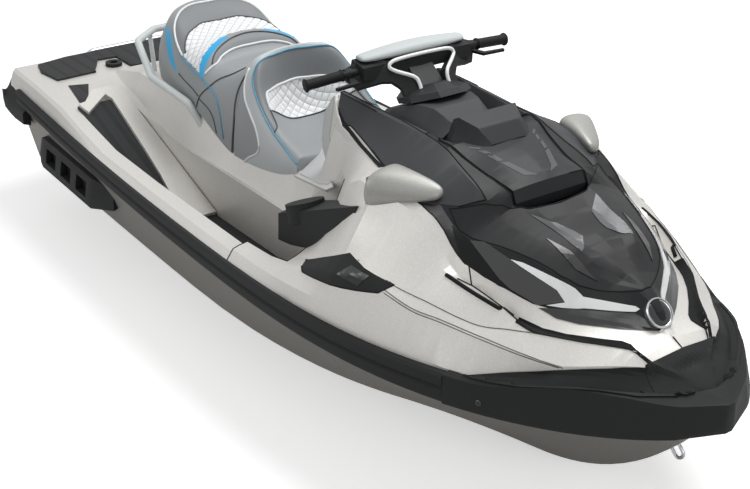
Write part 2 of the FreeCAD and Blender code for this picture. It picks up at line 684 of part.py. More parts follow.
def make_bow_parts():
    """Split the bow bodywork into its panels along their real edges."""
    form = front_form()
    gap = S["fit_gap"]
    hood = form.common(upright(hood_outline(), 600, 1000)).common(slab_over(60))
    hood_room = upright(hood_outline(), 600, 1000, gap).common(slab_over(60 + gap))
    console = form.common(upright(console_outline(), 845, 1100))
    console_room = upright(console_outline(), 845 - gap, 1100, gap)
    body = form.common(upright(body_outline(), 0, 1100)).cut(hood_room)
    body = body.cut(console_room).cut(other_side(console_room))
    lid, body = make_front_lid(form, body)
    glove_lid, body = make_glovebox_lid(form, body)
    column_room = leaned(Part.makeCylinder(S["column_radius"] + S["run_gap"], 200, Vector(0, 0, -80)))
    body = body.cut(column_room).cut(leaned(box(-150, 130, -160, 160, 3, 300)))
    outer = form.cut(upright(body_outline(), 0, 1100, gap)).cut(console_room).cut(other_side(console_room))
    nose = outer.common(upright(nose_outline(), 0, 1100))
    side = outer.cut(upright(nose_outline(), 0, 1100, gap)).common(box(0, BOW, 0, HALF, 0, 1100))
    tub = well(S["tub_wall"]).common(box(S["deck_split"] + gap, BOW, 0, HALF, 0, S["gunwale_height"]))
    side = side.fuse(tub).cut(well(0)).cut(prism(vent_outline(gap), Vector(0, 300, 0)))
    vent = form.common(prism(vent_outline(0), Vector(0, 300, 0)))
    panels = {"form": form, "bow_deck": side, "nose_panel": nose, "hood": hood, "storage_lid": lid,
              "glovebox_lid": glove_lid, "console": console, "vent": vent}
    seams = [0, S["dash_front"], S["lid_rear"] - S["run_gap"], BOW]
    for name, rear, front in zip(["dash", "centre_body", "front_body"], seams, seams[1:]):
        panels[name] = body.common(box(rear + gap, front, -HALF, HALF, 0, 1200))
    return panels


def slab_over(depth):
    """Space above a plane that lies depth under the slope of the bow bodywork."""
    corners = [Vector(850, -HALF, 880 - depth), Vector(1500, -HALF, 660 - depth),
               Vector(1500, -HALF, 1200), Vector(850, -HALF, 1200)]
    return prism(corners, Vector(0, 2 * HALF, 0))


def make_rail():
    """Port side rail with its two raised bands."""
    wires = []
    for x in stations(S["transom_place"] + 20, S["rail_end"]):
        inner = hull_side(x) + S["fit_gap"]
        outer = half_breadth(x)
        top, low = rail_top(x), rail_bottom(x)
        middle = (top + low) / 2
        points = [(inner, low), (outer - 3, low), (outer, low + 8), (outer, middle - 8),
                  (outer - 7, middle - 2), (outer - 7, middle + 2), (outer, middle + 8),
                  (outer, top - 8), (outer - 8, top), (inner, top)]
        wires.append(wire_at(x, points))
    return loft(wires)


def make_bow_bumper():
    """Moulded cap round the bow, fitted over hull and deck."""
    wires = []
    for x in stations(S["rail_end"] + S["fit_gap"], BOW - 2):
        outer = max(half_breadth(x), 8)
        low = rail_bottom(x) - 6
        crease, top = line_at(CREASE, x), line_at(BUMPER_TOP, x)
        middle = rail_top(x) - 8
        if x > S["nose_corner"]:
            middle = top[1] + 5 * (BOW - x) / (BOW - S["nose_corner"])
        points = [(outer - 4, low), (outer, low + 10), (min(crease[0], outer - 2), crease[1]),
                  (min(top[0], outer - 4), top[1]), (0.0, middle)]
        wires.append(wire_at(x, mirrored(points)))
    solid = loft(wires)
    places = stations(S["rail_end"] - 20, BOW - S["bumper_wall"] - 1)
    core = []
    for x in places:
        side = hull_side(x) + S["fit_gap"]
        core.append(wire_at(x, mirrored([(side, 200), (side, rail_top(x) + 260)])))
    return solid.cut(loft(core))


def make_stern_bumper():
    wires = []
    for x, wide, low, high in [(STERN, 30, 425, 470), (STERN + 12, 42, 395, 520),
                               (-1660, 52, 385, 560), (-1600, 50, 380, 540), (-1500, 34, 385, 470)]:
        inner = hull_side(max(x, STERN + 20)) + S["fit_gap"]
        outer = half_breadth(max(x, STERN + 20))
        inner = outer - wide + 8
        wires.append(wire_at(x, [(inner, low), (outer + 6, low + 10), (outer + 6, low + 55), (inner, high)]))
    return loft(wires)


def make_sponson():
    """Port stabilising fin: a long block with three slots, tapered to the front."""
    rows = [(-1370, 55, 275, 385), (-1330, 62, 268, 398), (-850, 62, 272, 398), (-720, 22, 300, 385)]
    wires = []
    for x, wide, low, high in rows:
        inner = hull_side(x) + S["fit_gap"] - 60
        outer = hull_side(x) + wide - 40
        wires.append(wire_at(x, [(inner, low + 16), (outer, low), (outer, low + 40), (outer - 14, high - 8),
                                 (inner, high)]))
    solid = loft(wires)
    for place in (-1290, -1140, -990):
        solid = solid.cut(box(place, place + 95, hull_side(place) - 12, HALF + 50, 300, 360))
    return solid


def make_pump():
    end, front = S["pump_end"], S["tunnel_front"] - S["fit_gap"]
    outer, wall = S["pump_radius"], S["pump_wall"]
    outlet = S["outlet_radius"]
    outline = [(front, outer - wall), (front, outer + 22), (front - 16, outer + 22), (front - 16, outer),
               (front - 190, outer), (end + 30, outlet), (end, outlet), (end, outlet - 8),
               (end + 30, outlet - 8), (front - 190, outer - wall)]
    solid = spun(outline, S["pump_height"])
    z = S["pump_height"]
    pivot = S["gate_pivot"]
    arm = S["gate_half"] - 8 - S["fit_gap"]
    for side in (-1, 1):
        boss = cylinder(15, Vector(pivot, side * (outlet - 4), z), Vector(pivot, side * (arm - 1), z))
        pin = cylinder(7, Vector(pivot, side * (arm - 2), z), Vector(pivot, side * (arm + 9), z))
        ear = box(S["nozzle_pivot"] - 7, end + 26, -9, 9, *sorted((z + side * (outlet - 7), z + side * (outlet + 2))))
        solid = solid.fuse([boss, pin, ear])
    hub_rear, hub_front = front - 215, front - 150
    hub = spun([(hub_rear - 35, 0), (hub_rear, 32), (hub_front, 36), (hub_front, S["shaft_radius"] + S["fit_gap"]),
                (hub_rear + 15, S["shaft_radius"] + S["fit_gap"]), (hub_rear + 15, 0)], z)
    vanes = []
    for turn in range(5):
        vane = box(hub_rear + 4, hub_front - 8, -3, 3, 30, outer - wall + 2)
        vane.rotate(Vector(0, 0, 0), Vector(1, 0, 0), turn * 72 + 36)
        vane.translate(Vector(0, 0, z))
        vanes.append(vane)
    solid = solid.fuse([hub] + vanes)
    return solid.removeSplitter()


def make_impeller():
    """Hub, four twisted blades and the drive shaft, about the pump axis."""
    front = S["tunnel_front"] - 40
    rear = front - 95
    reach = S["pump_radius"] - S["pump_wall"] - S["blade_gap"]
    hub = spun([(rear, 0), (rear, 33), (front, 24), (front + 20, S["shaft_radius"]), (front + 20, 0)], 0)
    solid = hub
    for blade in range(4):
        wires = []
        for step in range(5):
            share = step / 4
            x = front - 6 - (front - rear - 14) * share
            twist = math.radians(90 * blade + 75 * share)
            across = Vector(0, math.cos(twist), math.sin(twist))
            side = Vector(0, -math.sin(twist), math.cos(twist))
            root = Vector(x, 0, 0) + across * 18
            tip = Vector(x, 0, 0) + across * reach
            corners = [root - side * 4, tip - side * 2, tip + side * 2, root + side * 4]
            wires.append(Part.makePolygon(corners + [corners[0]]))
        solid = solid.fuse(loft(wires))
    tips = Part.makeCylinder(reach, 400, Vector(rear - 100, 0, 0), Vector(1, 0, 0))
    solid = solid.common(tips)
    shaft_end = S["engine_centre"] - S["engine_length"] / 2 - S["fit_gap"]
    shaft = Part.makeCylinder(S["shaft_radius"], shaft_end - rear - 1, Vector(rear + 1, 0, 0), Vector(1, 0, 0))
    stub_end = S["tunnel_front"] - S["fit_gap"] - 215 + 17
    stub = Part.makeCylinder(S["shaft_radius"], rear + 2 - stub_end, Vector(stub_end, 0, 0), Vector(1, 0, 0))
    solid = solid.fuse([shaft, stub])
    solid.translate(Vector(0, 0, S["pump_height"]))
    return solid.removeSplitter()


def make_nozzle():
    pivot = S["nozzle_pivot"]
    bell, mouth = S["nozzle_radius"], S["nozzle_mouth"]
    end = pivot + 12 - S["nozzle_length"]
    outline = [(pivot + 6, bell - 7), (pivot + 6, bell), (pivot - 20, bell), (end, mouth),
               (end, mouth - 7), (pivot - 20, bell - 8)]
    solid = spun(outline, S["pump_height"])
    z = S["pump_height"]
    for side in (-1, 1):
        pin = cylinder(6, Vector(pivot, 0, z + side * (S["outlet_radius"] + 2 + S["fit_gap"])),
                       Vector(pivot, 0, z + side * (bell - 2)))
        solid = solid.fuse(pin)
    return solid


def make_gate():
    """Reverse gate, built lowered behind the nozzle and raised to its rest place."""
    inner, wall, half = S["gate_radius"], S["gate_wall"], S["gate_half"]
    def sector(radius, width):
        points = []
        for step in range(9):
            angle = math.radians(-36 + 72 * step / 8)
            points.append(Vector(-radius * math.cos(angle), -width, radius * math.sin(angle)))
        return points
    outer_points = sector(inner + wall, half)
    inner_points = sector(inner, half)
    shell = prism(outer_points + list(reversed(inner_points)), Vector(0, 2 * half, 0))
    arm_outline = [Vector(16, half - 8, 14), Vector(16, half - 8, -14)] + [
        Vector(p.x, half - 8, p.z) for p in sector(inner + 1, half)]
    arm = prism(arm_outline, Vector(0, 8, 0))
    arm = arm.cut(Part.makeCylinder(7 + S["fit_gap"], 60, Vector(0, half - 30, 0), Vector(0, 1, 0)))
    solid = shell.fuse([arm, other_side(arm)])
    solid.rotate(Vector(0, 0, 0), Vector(0, 1, 0), 90)
    solid.translate(Vector(S["gate_pivot"], 0, S["pump_height"]))
    return solid


def make_ride_plate():
    """Plate that closes the pump tunnel, with an upright side in each corner."""
    half = "(sizes.tunnel_half - sizes.fit_gap)"
    front = "sizes.tunnel_front - sizes.fit_gap"
    plate = block("ride_plate_floor", ("sizes.ride_plate_rear - sizes.craft_length / 2", front),
                  (f"-{half}", half), ("0", "sizes.ride_plate_wall"))
    upright_range = ("sizes.ride_plate_wall - 2", "sizes.ride_plate_height")
    port = block("ride_plate_port", ("sizes.transom_place + 10", front),
                 (f"{half} - sizes.ride_plate_side", half), upright_range)
    starboard = block("ride_plate_starboard", ("sizes.transom_place + 10", front),
                      (f"-{half}", f"sizes.ride_plate_side - {half}"), upright_range)
    return kept(united("ride_plate", [plate, port, starboard]))


def make_grate():
    """Frame and bars over the water intake."""
    half = "(sizes.intake_half - sizes.fit_gap)"
    rear = "sizes.tunnel_front + sizes.intake_rear + sizes.fit_gap"
    front = "sizes.intake_front - sizes.fit_gap"
    height = ("sizes.grate_low", "sizes.grate_high")
    outside = block("grate_outside", (rear, front), (f"-{half}", half), height)
    inside = block("grate_inside", (f"{rear} + sizes.grate_end", f"{front} - sizes.grate_end"),
                   (f"sizes.grate_side - {half}", f"{half} - sizes.grate_side"),
                   ("sizes.grate_low - 5", "sizes.grate_high + 5"))
    pieces = [less("grate_frame", outside, inside)]
    for number in range(5):
        middle = f"{number - 2} * {half} / 3.4"
        pieces.append(block(f"grate_bar_{number}", (f"{rear} + 2", f"{front} - 2"),
                            (f"{middle} - sizes.grate_bar / 2", f"{middle} + sizes.grate_bar / 2"), height))
    return kept(united("intake_grate", pieces))


# Steering group, built upright about the column and then leaned back

def leaned(shape):
    shape.rotate(Vector(0, 0, 0), Vector(0, 1, 0), -S["column_rake"])
    shape.translate(Vector(S["column_place"], 0, S["column_height"]))
    return shape


def make_cover():
    """Fixed cowl under the handlebar, cut square to the column."""
    rows = [(338, 172, 885, 100, 925), (400, 168, 900, 115, 960), (470, 150, 925, 110, 990),
            (560, 135, 930, 85, 990), (636, 112, 925, 60, 955)]
    wires = [wire_at(x, mirrored([(wide, 780), (wide, low), (top, high)])) for x, wide, low, top, high in rows]
    solid = loft(wires)
    above = box(-600, 600, -400, 400, 3, 600)
    solid = solid.cut(leaned(above))
    bore = leaned(Part.makeCylinder(S["column_radius"] + S["fit_gap"], 160, Vector(0, 0, -80)))
    return solid.cut(bore)


def make_neck():
    rows = [(3 + S["run_gap"], -80, 72, 116), (28, -92, 62, 112), (52, -104, 20, 62)]
    wires = []
    for z, back, front, half in rows:
        corners = [Vector(back, half * 0.8, z), Vector(front - 50, half, z), Vector(front, half * 0.35, z),
                   Vector(front, -half * 0.35, z), Vector(front - 50, -half, z), Vector(back, -half * 0.8, z)]
        wires.append(Part.makePolygon(corners + [corners[0]]))
    solid = loft(wires)
    column = Part.makeCylinder(S["column_radius"], 100, Vector(0, 0, -58))
    solid = leaned(solid.fuse(column))
    riser = []
    for x0, x1, half, z in [(335, 452, 48, 1000), (296, 378, 44, 1062)]:
        corners = [Vector(x0, half, z), Vector(x1, half, z), Vector(x1, -half, z), Vector(x0, -half, z)]
        riser.append(Part.makePolygon(corners + [corners[0]]))
    return solid.fuse(loft(riser))


def make_strut():
    """Port white strut from the neck's front corner up to the bar's cover."""
    wires = []
    for x, y, wide, deep, z in [(446, 54, 16, 26, 1000), (408, 84, 16, 28, 1042), (366, 112, 26, 34, 1082)]:
        corners = [Vector(x - deep / 2, y - wide / 2, z), Vector(x + deep / 2, y - wide / 2, z),
                   Vector(x + deep / 2, y + wide / 2, z), Vector(x - deep / 2, y + wide / 2, z)]
        wires.append(Part.makePolygon(corners + [corners[0]]))
    return loft(wires)


def bar_route():
    half = S["bar_half"]
    return [Vector(318, -half + 4, 1054), Vector(330, -240, 1066), Vector(352, -120, 1072), Vector(352, 120, 1072),
            Vector(330, 240, 1066), Vector(318, half - 4, 1054)]


def make_bar_cover():
    wires = []
    for y, x0, x1, low, high in [(-208, 292, 374, 1046, 1098), (0, 286, 382, 1050, 1104), (208, 292, 374, 1046, 1098)]:
        corners = [Vector(x0, y, low + 8), Vector(x1, y, low), Vector(x1 - 6, y, high - 12), Vector(x0 + 12, y, high)]
        wires.append(Part.makePolygon(corners + [corners[0]]))
    return loft(wires)


def make_bar_pad():
    wires = []
    for y, x0, x1, low, high in [(-190, 298, 350, 1088, 1112), (0, 290, 372, 1092, 1130), (190, 298, 350, 1088, 1112)]:
        corners = [Vector(x0, y, low), Vector(x1, y, low), Vector(x1 - 8, y, high - 3), Vector(x0 + 10, y, high)]
        wires.append(Part.makePolygon(corners + [corners[0]]))
    return loft(wires)


def make_grip():
    route = bar_route()
    start = route[-1]
    along = (route[-2] - route[-1]).normalize()
    radius, length = S["grip_radius"], S["grip_length"]
    grip = Part.makeCylinder(radius, length, start + along * 0, along)
    flange = Part.makeCone(radius + 6, radius + 2, 12, start - along * 4, along)
    solid = grip.fuse(flange)
    bore = Part.makeCylinder(S["bar_radius"] + S["fit_gap"], length + 20, start - along * S["fit_gap"], along)
    return solid.cut(bore)


def make_lever():
    route = bar_route()
    y = S["bar_half"] - S["grip_length"] - 34
    clamp_middle = Vector(324, y + 6, 1062)
    along = (route[-1] - route[-2]).normalize()
    clamp = Part.makeCylinder(18, 22, clamp_middle - along * 11, along)
    blade = upright([(338, y - 4), (392, y + 10), (398, y + 92), (388, y + 94), (378, y + 26), (338, y + 12)],
                    1046, 1055)
    solid = clamp.fuse(blade)
    return solid.cut(Part.makeCylinder(S["bar_radius"] + S["fit_gap"], 90, clamp_middle - along * 40, along))


def make_mirror():
    """Port mirror pod: wide at the rear where the glass sits, drawn out to the front."""
    tip = S["mirror_half"]
    rear = [(308, 860), (tip - 4, 795), (tip - 8, 905), (308, 920)]
    middle = [(295, 850), (tip - 50, 822), (tip - 58, 898), (295, 918)]
    front = [(270, 840), (305, 852), (303, 885), (270, 896)]
    return loft([wire_at(690, rear), wire_at(760, middle), wire_at(870, front)])


def make_speaker():
    """Port speaker pod, a tapered housing ahead of the footwell."""
    rear = [(350, 545), (462, 520), (458, 632), (350, 650)]
    front = [(380, 600), (462, 640), (440, 800), (370, 800)]
    solid = loft([wire_at(258, rear), wire_at(660, front)])
    ring = Part.makeCylinder(62, 60, Vector(350, 405, 630), Vector(-0.35, 0, 0.94))
    return solid.fuse(ring)


def make_gauge_pod():
    """Instrument hood on the storage lid, open towards the rider."""
    rows = [(652, 112, 900, 84, 985), (705, 150, 900, 108, 1013), (760, 140, 900, 80, 992), (806, 120, 900, 60, 950)]
    wires = [wire_at(x, mirrored([(wide, low), (wide, low + 22), (top, high)])) for x, wide, low, top, high in rows]
    return loft(wires)


def make_gauge():
    """Instrument display, a flat plate in the rear of the hood."""
    front = "sizes.gauge_place - sizes.fit_gap"
    return kept(block("gauge", (f"{front} - sizes.gauge_thickness", front), ("-sizes.gauge_half", "sizes.gauge_half"),
                      ("sizes.gauge_low", "sizes.gauge_high")))


def make_mirror_glass():
    tip = S["mirror_half"] - 12
    outline = [(330, 868), (tip, 812), (tip - 3, 897), (330, 908)]
    return loft([wire_at(690 - S["fit_gap"] - 3, outline), wire_at(690 - S["fit_gap"], outline)])


def make_footwell_mat():
    """Port mat that follows the ramp and the floor of the footwell."""
    rise = S["deck_height"] - S["well_floor"]
    run = S["well_foot"] - S["platform_front"]
    slope = rise / run
    start, bend, end = S["platform_front"] + 40, S["well_foot"], S["well_front"] - 20
    gap, thick = S["fit_gap"], S["mat_thickness"]
    low = [(start, S["deck_height"] - 40 * slope + gap), (bend, S["well_floor"] + gap), (end, S["well_floor"] + gap)]
    high = [(x, z + thick) for x, z in reversed(low)]
    strip = prism([Vector(x, 0, z) for x, z in low + high], Vector(0, HALF, 0))
    return strip.common(well(-gap))


def stem_place(height):
    along = (height / S["stem_height"]) ** (1 / 3.8)
    return S["keel_straight"] + along * (BOW - 65 - S["keel_straight"])


def eye(root, along, out, spread, reach, radius):
    """U-shaped eye of round bar, its two legs sunk in the surface at root."""
    a, b = along * spread, out * reach
    points = [root + a - out * 20, root + a + b, root - a + b, root - a - out * 20]
    return tube(points, radius, spread * 0.8)


def make_bow_eye():
    height = S["bow_eye_height"]
    low, high = stem_place(height - 5), stem_place(height + 5)
    along = Vector(high - low, 0, 10).normalize()
    out = Vector(along.z, 0, -along.x)
    return eye(Vector(stem_place(height), 0, height), along, out, 17, 34, 5)


def make_stern_eye():
    return eye(Vector(S["transom_place"], 430, 380), Vector(0, 0, 1), Vector(-1, 0, 0), 17, 36, 5)


def make_ladder_bracket():
    x, z = STERN + 17, S["ladder_hinge"]
    inner = S["ladder_half"] + 14
    plate = box(x - 13, S["transom_place"] - S["fit_gap"], inner, inner + 8, z - 14, z + 14)
    pin = cylinder(6, Vector(x, inner - 27, z), Vector(x, inner + 4, z))
    foot = box(S["transom_place"] - S["fit_gap"] - 6, S["transom_place"] - S["fit_gap"], inner - 16, inner + 26,
               z - 30, z + 30)
    return plate.fuse([pin, foot]).removeSplitter()


def seat_section(x, half, low, high, crown):
    corners = [(half * 0.92, low), (half, low + 25), (half * 0.97, (low + high) / 2), (half * 0.78, high - crown),
               (half * 0.40, high)]
    return wire_at(x, mirrored(corners))


def seat(rows):
    return loft([seat_section(*row) for row in rows])


def make_driver_seat():
    return seat([(40, 150, 630, 690, 12), (-40, 200, 615, 694, 14), (-130, 214, 595, 700, 14),
                 (-240, 228, 570, 745, 18), (-300, 236, 558, 890, 46), (-345, 240, 548, 912, 60),
                 (-390, 242, 540, 880, 70)])


def make_middle_seat():
    return seat([(-390.4, 242, 540, 870, 60), (-440, 243, 556, 850, 40), (-540, 244, 600, 850, 40),
                 (-640, 244, 645, 880, 50)])


def make_rear_seat():
    return seat([(-640.4, 244, 645, 885, 60), (-680, 240, 650, 894, 70), (-730, 232, 652, 850, 40),
                 (-860, 226, 655, 860, 40), (-930, 224, 655, 915, 60), (-1000, 205, 655, 935, 90),
                 (-1050, 180, 655, 870, 80)])


def make_handle():
    points = [Vector(-630, 232, 590), Vector(-672, 262, 672), Vector(-930, 275, 700), Vector(-1150, 215, 770),
              Vector(-1195, 120, 790), Vector(-1195, -120, 790), Vector(-1150, -215, 770),
              Vector(-930, -275, 700), Vector(-672, -262, 672), Vector(-630, -232, 590)]
    handle = tube(points, 14, 30)
    for side in (-1, 1):
        handle = handle.fuse(cylinder(9, Vector(-1195, 140 * side, 788), Vector(-1165, 140 * side, 600)))
    return handle


def make_mat():
    half = [(-1676, 0), (-1676, 300), (-1650, 430), (-1560, 455), (-1433, 440), (-1440, 270), (-1464, 262),
            (-1570, 200), (-1560, 120), (-1420, 120), (-1410, 0)]
    low = S["deck_height"] + S["fit_gap"]
    outline = [(x + STERN + DRAWN_BOW, y) for x, y in both_sides(half)]
    return upright(outline, low, low + S["mat_thickness"])


def make_sockets():
    """Two round accessory sockets on the stern platform."""
    x = "sizes.socket_place - sizes.craft_length / 2"
    low = "sizes.deck_height + sizes.fit_gap"
    pieces = []
    for side, y in (("port", "sizes.socket_side"), ("starboard", "-sizes.socket_side")):
        body = drum(f"socket_body_{side}", "sizes.socket_radius", "sizes.socket_height", (x, y, low))
        bore = drum(f"socket_bore_{side}", "sizes.socket_bore", "sizes.socket_height",
                    (x, y, f"{low} + sizes.socket_floor"))
        pieces.append(less(f"socket_{side}", body, bore))
    both = doc.addObject("Part::Compound", "sockets")
    both.Links = pieces
    return kept(both)


def make_ladder():
    """Folding step: a U-shaped tube with a tread, stowed under the platform's edge."""
    half, radius = S["ladder_half"], S["ladder_tube"]
    x, foot = STERN + 17, S["ladder_hinge"]
    head = foot + S["ladder_reach"]
    points = [Vector(x, -half, foot), Vector(x, -half, head), Vector(x, half, head), Vector(x, half, foot)]
    solid = tube(points, radius, 40)
    tread = box(x - 8, x + 8, -half + 4, half - 4, head - 62, head - 22)
    solid = solid.fuse(tread)
    for side in (-1, 1):
        ys = (side * half - 12, side * half + 12)
        barrel = cylinder(13, Vector(x, ys[0], foot), Vector(x, ys[1], foot))
        bore = cylinder(6 + S["fit_gap"], Vector(x, ys[0] - 5, foot), Vector(x, ys[1] + 5, foot))
        solid = solid.fuse(barrel).cut(bore)
    return solid.removeSplitter()


def make_tow_eye():
    return eye(Vector(S["transom_place"], 0, 410), Vector(0, 1, 0), Vector(-1, 0, 0), 26, 40, 6)


hull_shape = make_hull()
node("hull", hull_shape)
deck_shape = make_deck().cut(hull_shape)
node("deck", deck_shape)
bow = make_bow_parts()
side_panel = bow["bow_deck"].cut(hull_shape)
cover = make_cover().cut(bow["form"])
node("dash", bow["dash"].cut(hull_shape))
node("centre_body", bow["centre_body"])
node("front_body", bow["front_body"].cut(hull_shape))
node("bow_deck", pair(side_panel))
node("nose_panel", bow["nose_panel"])
node("hood", bow["hood"])
node("storage_lid", bow["storage_lid"])
node("glovebox_lid", bow["glovebox_lid"])
make_bin()
node("gauge_pod", make_gauge_pod().cut(bow["form"]))
make_gauge()
node("side_consoles", pair(bow["console"]))
node("footwell_mats", pair(make_footwell_mat()))
stern_eye = make_stern_eye()
eyes = [make_bow_eye(), make_tow_eye(), stern_eye, other_side(stern_eye)]
node("hull_eyes", Part.makeCompound([ring.cut(hull_shape) for ring in eyes]))
node("ladder_brackets", pair(make_ladder_bracket()))
node("mirror_glass", pair(make_mirror_glass().cut(bow["form"])))
rail = make_rail()
node("side_rails", pair(rail))
node("bow_bumper", make_bow_bumper().cut(hull_shape).cut(bow["form"]))
node("stern_bumpers", pair(make_stern_bumper().cut(hull_shape).cut(deck_shape).cut(rail)))
node("sponsons", pair(make_sponson().cut(hull_shape)))
node("pump_housing", make_pump())
node("impeller", make_impeller())
node("steering_nozzle", make_nozzle())
node("reverse_gate", make_gate())
make_ride_plate()
make_grate()
make_engine()
node("column_cover", cover)
bar = tube(bar_route(), S["bar_radius"], 60)
bar_cover = make_bar_cover()
node("handlebar", bar)
node("bar_cover", bar_cover.cut(tube(bar_route(), S["bar_radius"] + S["fit_gap"], 60)))
neck = make_neck().cut(bar_cover)
node("steering_neck", neck)
node("bar_struts", pair(make_strut().cut(neck).cut(bar_cover)))
node("bar_pad", make_bar_pad().cut(bar_cover))
node("grips", pair(make_grip()))
node("levers", pair(make_lever().cut(bar)))
node("mirror_pods", pair(make_mirror().cut(bow["form"])))
node("speaker_pods", pair(make_speaker().cut(bow["form"]).cut(side_panel).cut(deck_shape)))
node("side_vents", pair(bow["vent"]))
node("driver_seat", make_driver_seat().cut(deck_shape))
node("middle_seat", make_middle_seat().cut(deck_shape))
node("rear_seat", make_rear_seat().cut(deck_shape))
node("grab_handle", make_handle().cut(deck_shape))
node("stern_mat", make_mat())
make_sockets()
node("boarding_ladder", make_ladder())
doc.recompute()

for name, piece in NODES.items():
    if "Invalid" in piece.State or "Error" in piece.State:
        raise RuntimeError(f"{name} failed")
    if piece.Shape.isNull() or not piece.Shape.isValid():
        raise RuntimeError(f"{name} has a bad shape")

os.makedirs("parts", exist_ok=True)
for name, piece in NODES.items():
    piece.Shape.exportStep(f"parts/{name}.step")
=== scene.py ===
"""Personal watercraft: the dressed model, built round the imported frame.

Frame: X points to the bow, Y to port, Z up, in metres; the floor is at zero.
"""
import math

import bmesh
import bpy
from bpy.props import FloatProperty, FloatVectorProperty, PointerProperty
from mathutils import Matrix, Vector
from mathutils.bvhtree import BVHTree
from mathutils.geometry import barycentric_transform, delaunay_2d_cdt


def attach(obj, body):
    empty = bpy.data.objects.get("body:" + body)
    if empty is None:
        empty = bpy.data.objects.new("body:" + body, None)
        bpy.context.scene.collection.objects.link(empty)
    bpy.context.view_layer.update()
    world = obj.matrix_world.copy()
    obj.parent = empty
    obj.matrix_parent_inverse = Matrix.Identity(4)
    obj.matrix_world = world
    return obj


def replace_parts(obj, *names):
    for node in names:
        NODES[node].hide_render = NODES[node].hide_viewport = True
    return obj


bl_info = {
    "name": "Personal Watercraft",
    "version": (1, 0, 0),
    "blender": (4, 5, 0),
    "location": "View3D > Sidebar > Watercraft",
    "description": "Builds the dressed personal watercraft round its fixed frame",
    "category": "Object",
}

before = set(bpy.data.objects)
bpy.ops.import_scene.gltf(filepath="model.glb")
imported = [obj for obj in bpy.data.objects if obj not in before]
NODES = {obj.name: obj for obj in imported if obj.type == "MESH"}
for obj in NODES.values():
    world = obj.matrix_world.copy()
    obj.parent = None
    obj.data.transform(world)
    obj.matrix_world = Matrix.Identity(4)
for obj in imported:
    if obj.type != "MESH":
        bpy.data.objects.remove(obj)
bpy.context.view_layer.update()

# Points of a CAD mesh, and of a patch's net, that are nearer than this become one
MERGE = 0.00002
NET_MERGE = 0.0005

# Keeps a division by a distance safe, and tells equal coordinates
TINY = 1e-7

# A seal lies only on edges whose normal points up at least this much
UPPER = 0.12

# Edge angle, in degrees, from which a panel gets a seal
SEAL_ANGLE = 50

WHITE = (1.0, 1.0, 1.0, 1.0)
FLOOR_COLOUR = (0.93, 0.93, 0.93, 1.0)


# Colours, sizes and nodes

def linear(code):
    """Turn an sRGB hex colour into linear values."""
    values = [int(code[i:i + 2], 16) / 255 for i in (1, 3, 5)]
    return [v / 12.92 if v <= 0.04045 else ((v + 0.055) / 1.055) ** 2.4 for v in values] + [1.0]


def metres(sizes):
    """Turn millimetres, in lists of any depth, into metres."""
    if isinstance(sizes, (list, tuple)):
        return [metres(size) for size in sizes]
    return sizes / 1000


def add(tree, kind, settings=None, links=None):
    """Add one node, with its properties or socket values and what is linked into its sockets."""
    node = tree.nodes.new(kind)
    for name, value in (settings or {}).items():
        if isinstance(name, str) and hasattr(node, name):
            setattr(node, name, value)
        else:
            node.inputs[name].default_value = value
    for name, source in (links or {}).items():
        tree.links.new(source, node.inputs[name])
    return node


def start_material(name, **settings):
    """Make a material, and give back its tree, its main shader and the object coordinates."""
    material = bpy.data.materials.new(name)
    material.use_nodes = True
    tree = material.node_tree
    tree.nodes.clear()
    shader = add(tree, "ShaderNodeBsdfPrincipled", {k.replace("_", " "): v for k, v in settings.items()})
    add(tree, "ShaderNodeOutputMaterial", links={"Surface": shader.outputs[0]})
    return material, tree, shader, add(tree, "ShaderNodeTexCoord").outputs["Object"]


def gelcoat(name, light, dark, flake_mm=1.1):
    """Metal flake gelcoat: a sprayed clear coat over flakes of differing tone, coarse enough to show."""
    material, tree, shader, place = start_material(
        name, Metallic=0.35, Roughness=0.46, Coat_Weight=0.12, Coat_Roughness=0.18, Specular_IOR_Level=0.3)
    flakes = add(tree, "ShaderNodeTexVoronoi", {"Scale": 1000 / flake_mm}, {"Vector": place})
    shade = add(tree, "ShaderNodeMix", {"data_type": "RGBA", 6: dark, 7: light}, {0: flakes.outputs["Color"]})
    tree.links.new(shade.outputs[2], shader.inputs["Base Color"])
    return material


def moulded_plastic(name, colour, roughness=0.55, grain_mm=0.9):
    """Moulded ABS or rubber with a spark-eroded grain, which breaks up the highlight."""
    material, tree, shader, place = start_material(
        name, Base_Color=linear(colour), Roughness=roughness, Specular_IOR_Level=0.2)
    grain = add(tree, "ShaderNodeTexNoise", {"Scale": 1000 / grain_mm, "Detail": 2.0}, {"Vector": place})
    bump = add(tree, "ShaderNodeBump", {"Strength": 0.12, "Distance": 0.001}, {"Height": grain.outputs[0]})
    tree.links.new(bump.outputs[0], shader.inputs["Normal"])
    return material


def painted(name, colour, roughness, coat=0.4):
    """Sprayed paint or hard-coated plastic with a slight orange peel, its ripples about 8 mm wide."""
    material, tree, shader, place = start_material(
        name, Base_Color=linear(colour), Roughness=roughness, Coat_Weight=coat, Coat_Roughness=0.24,
        Specular_IOR_Level=0.2)
    peel = add(tree, "ShaderNodeTexNoise", {"Scale": 120.0, "Detail": 1.0}, {"Vector": place})
    bump = add(tree, "ShaderNodeBump", {"Strength": 0.03, "Distance": 0.002}, {"Height": peel.outputs[0]})
    tree.links.new(bump.outputs[0], shader.inputs["Normal"])
    return material


